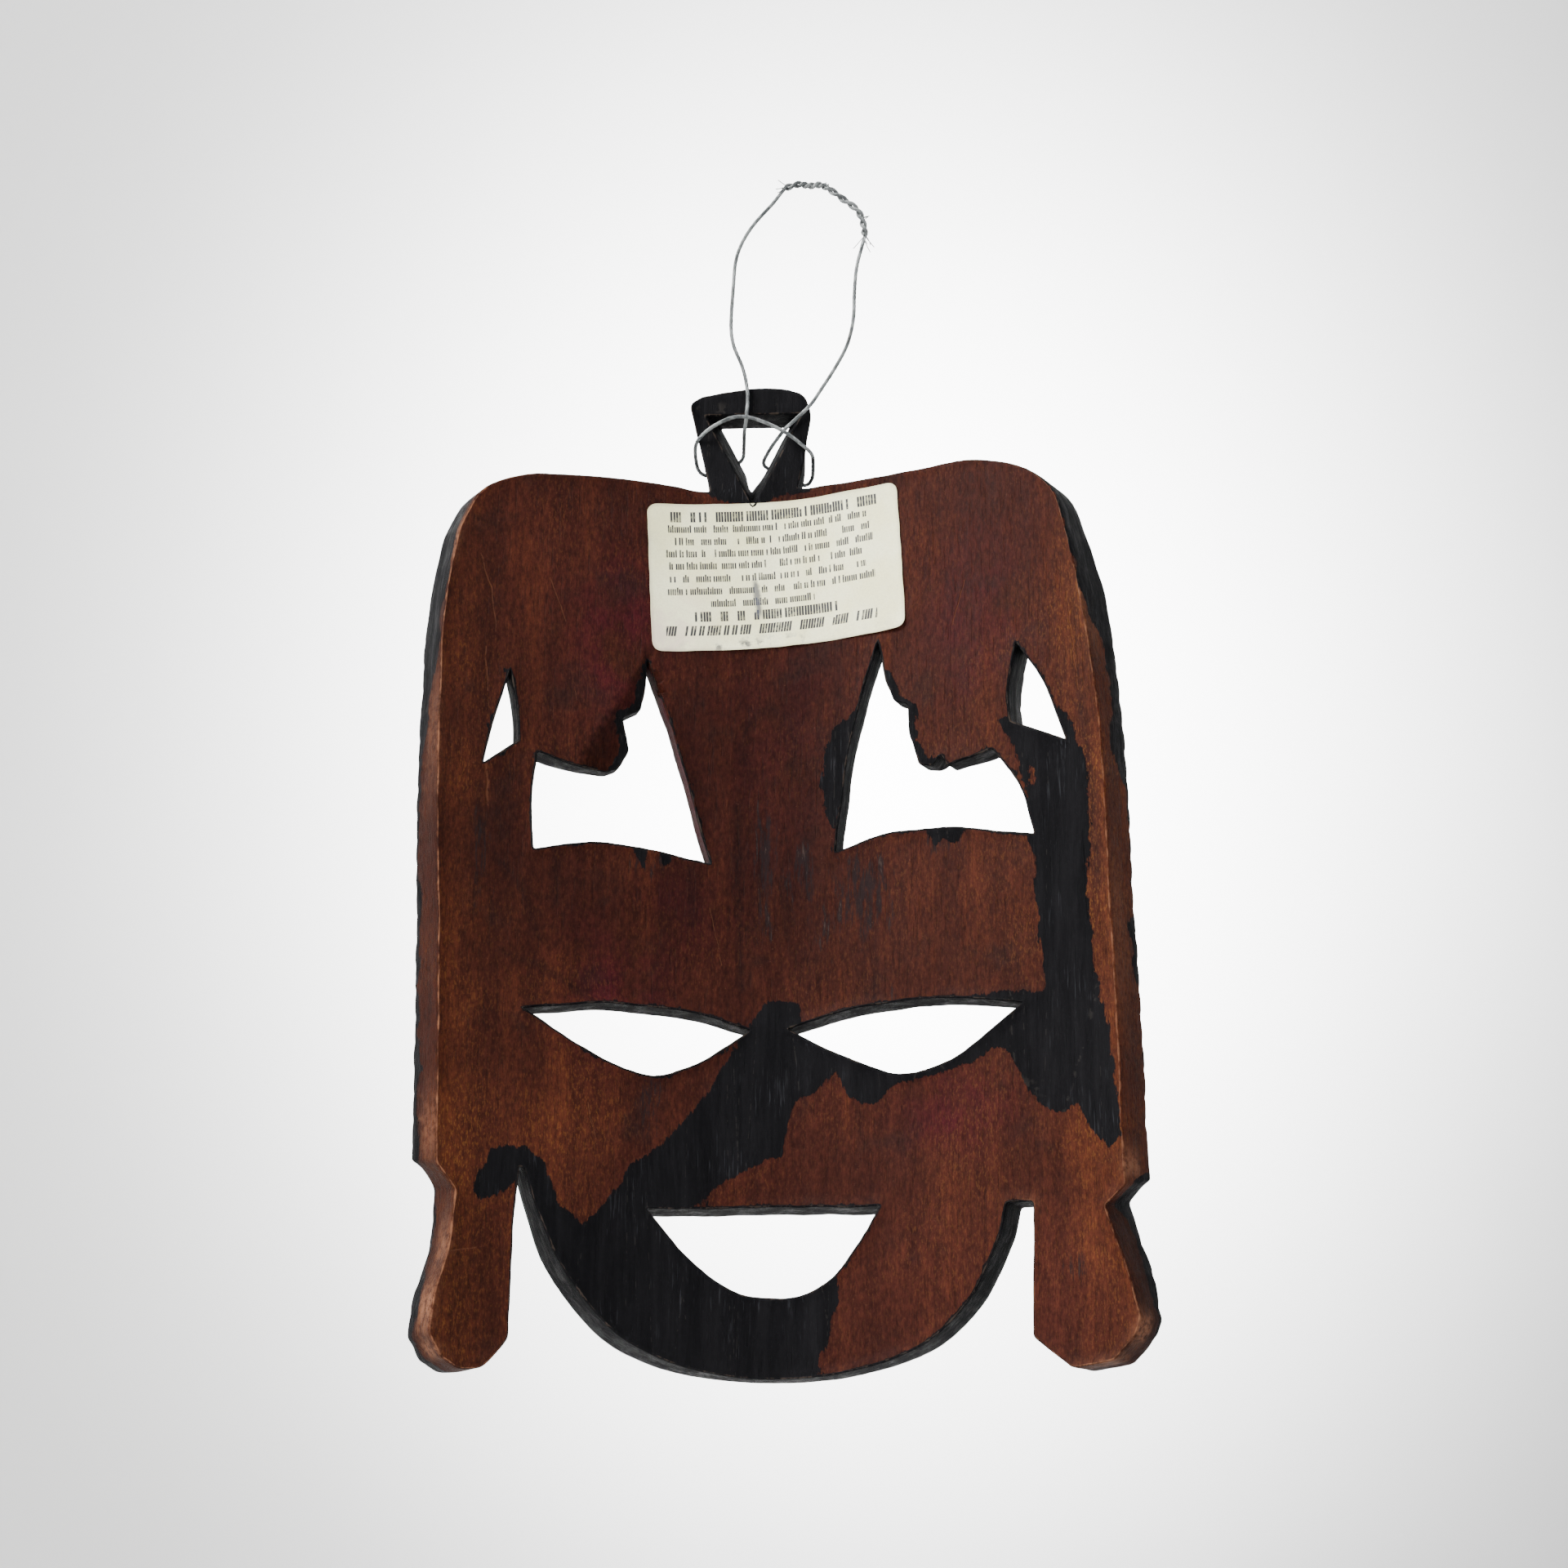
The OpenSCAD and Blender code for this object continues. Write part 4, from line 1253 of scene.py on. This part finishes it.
def dot_paint():
    material, g, shader = new_material("raised_dot_paint")
    at = g.place()
    worn = g.noise(at, 700.0, 3.0, 0.6)
    colour = g.mix(g.step(worn, 0.4, 0.6), linear(226, 218, 196), linear(198, 184, 154))
    colour = g.mix(g.step(g.noise(at, 150.0, 2.0), 0.60, 0.70, 0.0, 0.8), colour, linear(120, 84, 60))
    g.put(shader.inputs["Base Color"], colour)
    g.put(shader.inputs["Roughness"], g.step(worn, 0.3, 0.7, 0.4, 0.6))
    bumped(g, shader, worn, 0.1 * MM, 0.4)
    return material


# ---------------------------------------------------------------- wire hanger
# The twisted pair at the top, then the loop that runs round the topknot's legs and back (mm)
TWIST_LINE = [(-32.5, 1.2, 216.5), (-32, 1.2, 221), (-30, 1.2, 226.5), (-25, 1.2, 231),
              (-19.5, 1.2, 235.5), (-16, 1.2, 237.3), (-12, 1.2, 237), (-8.5, 1.2, 237.8),
              (-3.5, 1.2, 236.5)]
LOOP_LINE = [
    (1.5, 1.2, 230), (9.5, 1.8, 220), (14.5, 2.2, 209), (15.8, 2.4, 196), (16.6, 2.2, 181), (15.5, 1.8, 173),
    (12.4, 1.5, 165), (10.7, 1.3, 157), (10.5, 1.2, 151), (10.8, 1.2, 147), (11.2, -0.5, 144.3),
    (12, -4, 141.5), (12.5, -10, 138.5), (13.2, -15.2, 136), (16, -16.4, 133.8), (21, -16.4, 131),
    (26, -15.6, 129.5), (29, -12, 130), (29.8, -6, 132.5), (29.2, -0.3, 136.1), (25.4, 2.5, 139.6),
    (20.5, 2.8, 142.8), (15.5, 2.9, 144.8), (10.5, 2.9, 144.8), (5, 2.8, 143), (0, 2.7, 140.6),
    (-4.5, 3.1, 137.6), (-8.7, 3.2, 134), (-12.7, 0.8, 130.8), (-13, -5, 127.8), (-12.2, -11, 125.6),
    (-9.5, -15.8, 125.2), (-4, -16.4, 127.6), (1, -16.3, 130.6), (5.6, -15.2, 133.4), (3.4, -9, 136),
    (0.4, -3.5, 138), (-3, 0.6, 140.6), (-7, 1.3, 144.2), (-12.3, 1.3, 149.6), (-16.5, 1.4, 156),
    (-21.5, 1.8, 164), (-26, 2.2, 173), (-28.2, 2.4, 183), (-28.6, 2.2, 193), (-29.4, 1.8, 203),
    (-31.2, 1.3, 211)]
WIRE, TWIST_TURNS = 1.2, 6
# Six strands wound round a core, with a full turn every LAY_LENGTH (mm)
STRANDS, STRAND_RADIUS, STRAND_OFFSET, CORE_RADIUS, HAIR_RADIUS, LAY_LENGTH = 6, 0.245, 0.455, 0.25, 0.15, 11
# Frayed hairs: where they spring from, which way, how many and how long (mm)
FRAYED = (((-32.4, 1.2, 216.8), (-0.15, 0.1, -1.0), 7, 6.5), ((-4.0, 1.2, 236.6), (1.0, 0.1, -0.25), 6, 6.0),
          ((-18.5, 1.2, 236.4), (-0.4, 0.3, 1.0), 3, 2.6), ((-31.6, 1.2, 223.0), (-1.0, 0.3, 0.1), 3, 2.6))


def smooth_line(points, n):
    """A smooth line through the points, with n steps to each stretch."""
    p, out = [np.array(q, float) for q in points], []
    for i in range(len(p) - 1):
        a, b, c, d = p[max(i - 1, 0)], p[i], p[i + 1], p[min(i + 2, len(p) - 1)]
        for k in range(n):
            u = k / n
            out.append(0.5 * (2 * b + (c - a) * u + (2 * a - 5 * b + 4 * c - d) * u * u
                              + (3 * b - a - 3 * c + d) * u ** 3))
    out.append(p[-1])
    return out


def wire_line():
    """The whole wire: one end round the other, the loop, and back to the twist."""
    centre = smooth_line(TWIST_LINE, 12)

    def strand(phase):
        out = []
        for i, c in enumerate(centre):
            t = unit(centre[min(i + 1, len(centre) - 1)] - centre[max(i - 1, 0)])
            n = unit(np.cross(t, (0, 1, 0)))
            a = math.radians(phase + 360 * TWIST_TURNS * i / (len(centre) - 1))
            out.append(c + 0.6 * WIRE * (math.cos(a) * n + math.sin(a) * np.array((0, 1, 0))))
        return out

    return strand(90) + smooth_line(LOOP_LINE, 4) + strand(270)


def line_object(name, lines):
    """Open lines of points as a mesh of edges."""
    points, edges = [], []
    for line in lines:
        start = len(points)
        points += [tuple(q) for q in place(line)]
        edges += [(start + i, start + i + 1) for i in range(len(line) - 1)]
    mesh = bpy.data.meshes.new(name)
    mesh.from_pydata(points, edges, [])
    return link(name, mesh)


def geometry_tree(name, inputs):
    """An empty tree of geometry nodes with named inputs."""
    tree = bpy.data.node_groups.new(name, "GeometryNodeTree")
    tree.interface.new_socket("Geometry", in_out="INPUT", socket_type="NodeSocketGeometry")
    for word, kind in inputs:
        tree.interface.new_socket(word, in_out="INPUT", socket_type="NodeSocket" + kind)
    tree.interface.new_socket("Geometry", in_out="OUTPUT", socket_type="NodeSocketGeometry")
    g = Graph(tree)
    return tree, g, g.node("NodeGroupInput").outputs, g.node("NodeGroupOutput").inputs


def end_tree(g, geometry, ins, outs):
    """Real geometry with its material, smooth shaded."""
    real = g.node("GeometryNodeRealizeInstances")
    g.put(real.inputs[0], geometry)
    smooth = g.node("GeometryNodeSetShadeSmooth")
    g.put(smooth.inputs["Geometry"], real.outputs[0])
    finish = g.node("GeometryNodeSetMaterial")
    g.put(finish.inputs["Geometry"], smooth.outputs[0])
    g.put(finish.inputs["Material"], ins["Material"])
    g.put(outs["Geometry"], finish.outputs[0])


def strands_tree():
    """Fine strands wound round a line."""
    tree, g, ins, outs = geometry_tree("wound strands", [
        ("Strands", "Int"), ("Strand radius", "Float"), ("Offset", "Float"), ("Lay length", "Float"),
        ("Step", "Float"), ("Material", "Material")])
    curve = g.node("GeometryNodeMeshToCurve")
    g.put(curve.inputs[0], ins["Geometry"])
    even = g.node("GeometryNodeResampleCurve", mode="LENGTH")
    g.put(even.inputs["Curve"], curve.outputs[0])
    g.put(even.inputs["Length"], ins["Step"])
    copies = g.node("GeometryNodeDuplicateElements", domain="SPLINE")
    g.put(copies.inputs["Geometry"], even.outputs[0])
    g.put(copies.inputs["Amount"], ins["Strands"])
    share = g.math("DIVIDE", copies.outputs["Duplicate Index"], ins["Strands"])
    turns = g.math("DIVIDE", g.node("GeometryNodeSplineParameter").outputs["Length"], ins["Lay length"])
    angle = g.times(g.plus(share, turns), 2 * math.pi)
    normal = g.node("GeometryNodeInputNormal").outputs[0]
    side = g.vector("CROSS_PRODUCT", g.node("GeometryNodeInputTangent").outputs[0], normal)
    offset = g.vector("ADD", *(g.stretched(vector, g.times(g.math(turn, angle), ins["Offset"]))
                               for vector, turn in ((normal, "COSINE"), (side, "SINE"))))
    moved = g.node("GeometryNodeSetPosition")
    g.put(moved.inputs["Geometry"], copies.outputs["Geometry"])
    g.put(moved.inputs["Offset"], offset)
    ring = g.node("GeometryNodeCurvePrimitiveCircle", mode="RADIUS")
    ring.inputs["Resolution"].default_value = 6
    g.put(ring.inputs["Radius"], ins["Strand radius"])
    tube = g.node("GeometryNodeCurveToMesh")
    tube.inputs["Fill Caps"].default_value = True
    g.put(tube.inputs["Curve"], moved.outputs[0])
    g.put(tube.inputs["Profile Curve"], ring.outputs[0])
    end_tree(g, tube.outputs[0], ins, outs)
    return tree


def dots_tree():
    """Small raised dots, evenly spaced along lines."""
    tree, g, ins, outs = geometry_tree("raised dots", [
        ("Spacing", "Float"), ("Dot radius", "Float"), ("Size spread", "Float"), ("Seed", "Int"),
        ("Material", "Material")])
    curve = g.node("GeometryNodeMeshToCurve")
    g.put(curve.inputs[0], ins["Geometry"])
    places = g.node("GeometryNodeCurveToPoints", mode="LENGTH")
    g.put(places.inputs["Curve"], curve.outputs[0])
    g.put(places.inputs["Length"], ins["Spacing"])
    ball = g.node("GeometryNodeMeshUVSphere")
    g.put(ball.inputs["Radius"], ins["Dot radius"])
    ball.inputs["Segments"].default_value = 8
    ball.inputs["Rings"].default_value = 5
    size = g.node("FunctionNodeRandomValue", data_type="FLOAT")
    g.put(size.inputs[2], g.minus(1.0, ins["Size spread"]))
    g.put(size.inputs[3], g.plus(1.0, ins["Size spread"]))
    g.put(size.inputs["Seed"], ins["Seed"])
    copies = g.node("GeometryNodeInstanceOnPoints")
    g.put(copies.inputs["Points"], places.outputs[0])
    g.put(copies.inputs["Instance"], ball.outputs["Mesh"])
    g.put(copies.inputs["Scale"], size.outputs[1])
    end_tree(g, copies.outputs[0], ins, outs)
    return tree


def grown(obj, tree, **values):
    """The object's lines turned into the tree's plain mesh."""
    modifier = obj.modifiers.new("grown", "NODES")
    modifier.node_group = tree
    for item in tree.interface.items_tree:
        word = item.name.replace(" ", "_")
        if item.item_type == "SOCKET" and item.in_out == "INPUT" and word in values:
            modifier[item.identifier] = values[word]
    deps = bpy.context.evaluated_depsgraph_get()
    mesh = bpy.data.meshes.new_from_object(obj.evaluated_get(deps))
    obj.modifiers.remove(modifier)
    obj.data = mesh
    return obj


def join(name, objects):
    """Several objects made into one piece."""
    bpy.ops.object.select_all(action="DESELECT")
    for obj in objects:
        obj.select_set(True)
    bpy.context.view_layer.objects.active = objects[0]
    bpy.ops.object.join()
    objects[0].name = name
    return objects[0]


def frayed_hairs():
    """Stray hairs that spring away from the twist."""
    pick = random.Random(14)
    hairs = []
    for end, toward, number, length in FRAYED:
        for _ in range(number):
            way = unit(np.array(toward)
                       + np.array([pick.uniform(-0.75, 0.75) for _ in range(3)]) * (1, 0.4, 1))
            bend = np.array([pick.uniform(-1, 1) for _ in range(3)]) * (1, 0.5, 1)
            reach = length * pick.uniform(0.45, 1.0)
            start = np.array(end) + np.array([pick.uniform(-0.5, 0.5) for _ in range(3)])
            hairs.append([start + way * reach * t + bend * 0.28 * reach * t * t
                          for t in np.linspace(0, 1, 7)])
    return hairs


def build_wire():
    steel, tree = steel_strands(), strands_tree()
    pieces = []
    for name, lines, strands, radius, offset, lay, step in (
            ("wire", [wire_line()], STRANDS, STRAND_RADIUS, STRAND_OFFSET, LAY_LENGTH, 0.9),
            ("core", [wire_line()], 1, CORE_RADIUS, 0.0, LAY_LENGTH, 1.5),
            ("hairs", frayed_hairs(), 1, HAIR_RADIUS, 0.0, 9, 0.8)):
        pieces.append(grown(line_object(name, lines), tree, Strands=strands, Strand_radius=radius * MM,
                            Offset=offset * MM, Lay_length=lay * MM, Step=step * MM, Material=steel))
    wire = join("wire_loop", pieces)
    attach(wire, "hanger")
    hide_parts("hanger_wire")


# ---------------------------------------------------------------- paper label
LABEL_MIDDLE, LABEL_WIDTH, LABEL_HEIGHT, LABEL_CORNER = (0.0, 85.5), 89.6, 55.0, 4
# How far it is turned (degrees), and how much its sides lean
LABEL_TILT, LABEL_LEAN = 4.6, -0.03
# Height of its two sides above the wood (mm), glue included
LABEL_TOP, LABEL_UNDER = 0.36, 0.12


def build_label():
    half_w, half_h = LABEL_WIDTH / 2, LABEL_HEIGHT / 2
    corners = [(a * half_w, b * half_h, LABEL_CORNER) for a, b in ((-1, -1), (1, -1), (1, 1), (-1, 1))]
    loop = spaced(rounded(corners, 8), 1.5)
    loop = loop + 0.10 * np.stack([noise_2d(loop, 6, 81), noise_2d(loop, 6, 82)], 1)
    local, tris, _ = filled([loop], 1.8)
    count, n = len(local), len(loop)
    rim, _ = line_distance(local, loop)
    # local x runs to the left as one looks at the back, so the print starts at +x
    across, down = half_w - local[:, 0], half_h - local[:, 1]
    a = math.radians(-LABEL_TILT)
    across_paper = local[:, 0] + LABEL_LEAN * local[:, 1]
    turned = np.stack([across_paper * math.cos(a) - local[:, 1] * math.sin(a),
                       across_paper * math.sin(a) + local[:, 1] * math.cos(a)], 1) + LABEL_MIDDLE
    # corners and edges that have begun to lift, and small wrinkles
    lift = 0.55 * np.exp(-rim / 2.5) * np.clip(0.35 + noise_2d(local, 16, 83), 0, 1)
    far = np.abs(local[:, 0]) / half_w * np.abs(local[:, 1]) / half_h
    lift += 0.5 * smooth_step(far, 0.72, 1.0) * (local[:, 0] < 0)
    crease = np.exp(-((local[:, 0] - 5 + 0.15 * local[:, 1]) / 0.9) ** 2)
    lift += 0.10 * np.clip(noise_2d(local, 7, 84), 0, 1) + 0.12 * crease
    wood = gouge_marks(turned)
    points = np.concatenate([wood_point(turned, wood - LABEL_TOP - lift),
                             wood_point(turned, wood - LABEL_UNDER - lift)])
    index = np.arange(n)
    ahead = np.roll(index, -1)
    faces = np.concatenate([tris[:, ::-1], tris + count,
                            np.stack([index, ahead, ahead + count], 1),
                            np.stack([index, ahead + count, index + count], 1)])
    label = new_mesh("label_sheet", points, faces)
    for name, values in (("across", across), ("down", down), ("rim", rim)):
        add_field(label.data, name, np.concatenate([values, values]))
    label.data.materials.append(aged_paper())
    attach(label, "mask")
    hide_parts("paper_label")


# ---------------------------------------------------------------- raised dots on the face
DOT_SPACING, DOT_RADIUS, DOT_SPREAD = 5.2, 1.35, 0.14
# Rows of dots that both sides have: the brow, the ear strip, two on the head band and the cheek
DOT_ROWS = [
    [(84, -65), (66, -56.5), (38, -55.5), (17, -64)], [(105, 52), (106.3, 0), (104.5, -70), (102, -118)],
    [(46, 56.5), (60, 55), (80, 56), (94, 58)], [(47, 62), (60, 60.5), (80, 61.5), (95, 63.5)],
    [(88, -106), (66, -114), (40, -120), (22, -128)]]
MIDDLE_DOTS = [(0, 100), (0, 60), (0, 20), (0, -20), (0, -52)]


def on_face(line, loops, sink=0.3):
    """Points of the carved face's surface under a line of places, a little sunk in."""
    p = np.array(line, float)
    points = wood_point(p, THICKNESS + face_relief(p) - sink)
    points[:, (0, 2)] += front_shift(p, loops)
    return points


def build_dots():
    loops = board_loops()
    rows = [[(side * x, z) for x, z in row] for side in (1, -1) for row in DOT_ROWS] + [MIDDLE_DOTS]
    lines = [on_face(spaced_open(row, 2.0), loops) for row in rows]
    dots = grown(line_object("dots", lines), dots_tree(), Spacing=DOT_SPACING * MM,
                 Dot_radius=DOT_RADIUS * MM, Size_spread=DOT_SPREAD, Seed=5, Material=dot_paint())
    dots.name = "painted_dots"
    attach(dots, "mask")


# ---------------------------------------------------------------- stage and light (metres)
MASK_MIDDLE = (0.0, 0.0, -0.22)
FLOOR_LEVEL, FLOOR_HALF, BACKDROP_HALF = -0.62, 4, 1.5
# The backdrop stands square to the view, close behind the face
VIEW_WAY, BACKDROP_MIDDLE, BACKDROP_GAP = Vector((-0.0503, 0.9599, -0.2756)), Vector((0, 0, -0.21)), 0.085
# Its painted glow, seen only by the camera: the middle across and up, the half sizes and the strength
GLOW_X, GLOW_Z, GLOW_WIDE, GLOW_TALL, GLOW_POWER = 0.025, 0.20, 0.185, 0.225, 14.0
WARM_LIGHT, COOL_LIGHT = (1.0, 0.99, 0.97), (0.97, 0.98, 1.0)
# Soft lights: place, size, power and colour
LIGHTS = {"key": ((1.35, 0.95, 1.05), 0.9, 112.0, WARM_LIGHT),
          "fill": ((-1.0, 1.6, 0.7), 1.4, 22.0, COOL_LIGHT),
          "front_key": ((-0.9, -1.6, 0.6), 0.9, 88.0, WARM_LIGHT),
          "front_fill": ((1.3, -1.3, -0.2), 1.4, 26.0, COOL_LIGHT)}


def painted_backdrop_glow(material, g, shader):
    """A painted soft glow round the mask's outline, seen only by the camera; from its other side the card is
    clear.
    """
    axes = g.node("ShaderNodeSeparateXYZ")
    g.put(axes.inputs[0], g.place())
    wide = g.math("POWER", g.math("DIVIDE", g.plus(axes.outputs["X"], GLOW_X), GLOW_WIDE), 2.0)
    tall = g.math("POWER", g.math("DIVIDE", g.plus(axes.outputs["Z"], GLOW_Z), GLOW_TALL), 2.0)
    glow = g.math("EXPONENT", g.times(g.plus(wide, tall), -1.0))
    glow = g.times(glow, g.node("ShaderNodeLightPath").outputs["Is Camera Ray"])
    g.put(shader.inputs["Emission Color"], (1.0, 1.0, 1.0, 1.0))
    g.put(shader.inputs["Emission Strength"], g.times(glow, GLOW_POWER))
    clear, mixed = g.node("ShaderNodeBsdfTransparent"), g.node("ShaderNodeMixShader")
    g.put(mixed.inputs[0], g.node("ShaderNodeNewGeometry").outputs["Backfacing"])
    g.put(mixed.inputs[1], shader.outputs[0])
    g.put(mixed.inputs[2], clear.outputs[0])
    out = [n for n in material.node_tree.nodes if n.type == "OUTPUT_MATERIAL"][0]
    g.put(out.inputs["Surface"], mixed.outputs[0])


def stage_plane(name, centre, x_axis, y_axis, colour):
    """A plain card in the colour given."""
    mesh = bpy.data.meshes.new(name)
    c, x, y = (np.array(v, float) for v in (centre, x_axis, y_axis))
    mesh.from_pydata([tuple(c + a * x + b * y) for a, b in ((-1, -1), (1, -1), (1, 1), (-1, 1))],
                     [], [(0, 1, 2, 3)])
    obj = link(name, mesh)
    material, g, shader = new_material(name + "_card")
    darker = tuple(v * 0.97 for v in colour[:3]) + (1.0,)
    tint = g.mix(g.step(g.noise(g.place(), 6.0, 4.0), 0.3, 0.7), colour, darker)
    g.put(shader.inputs["Base Color"], tint)
    shader.inputs["Roughness"].default_value = 0.9
    shader.inputs["Specular IOR Level"].default_value = 0.1
    mesh.materials.append(material)
    return material, g, shader


def build_stage():
    stage_plane("floor", (0, 0, FLOOR_LEVEL), (FLOOR_HALF, 0, 0), (0, FLOOR_HALF, 0), linear(232, 232, 232))
    right = Vector((0, 0, 1)).cross(VIEW_WAY).normalized()
    up = VIEW_WAY.cross(right)
    card = stage_plane("backdrop", BACKDROP_MIDDLE - VIEW_WAY * BACKDROP_GAP, right * BACKDROP_HALF,
                       up * BACKDROP_HALF, linear(206, 206, 206))
    # a painted glow on the backdrop, round the mask
    painted_backdrop_glow(*card)
    for name, (where, size, power, colour) in LIGHTS.items():
        data = bpy.data.lights.new(name, "AREA")
        data.shape, data.size, data.energy, data.color = "DISK", size, power, colour
        obj = link(name, data)
        obj.location = where
        toward = Vector(MASK_MIDDLE) - Vector(where)
        obj.rotation_euler = toward.to_track_quat("-Z", "Y").to_euler()
    world = bpy.data.worlds.new("studio")
    bpy.context.scene.world = world
    world.use_nodes = True
    sky = world.node_tree.nodes["Background"].inputs
    sky["Color"].default_value = (0.92, 0.94, 0.96, 1.0)
    sky["Strength"].default_value = 0.38


build_board()
build_dots()
build_wire()
build_label()
build_stage()
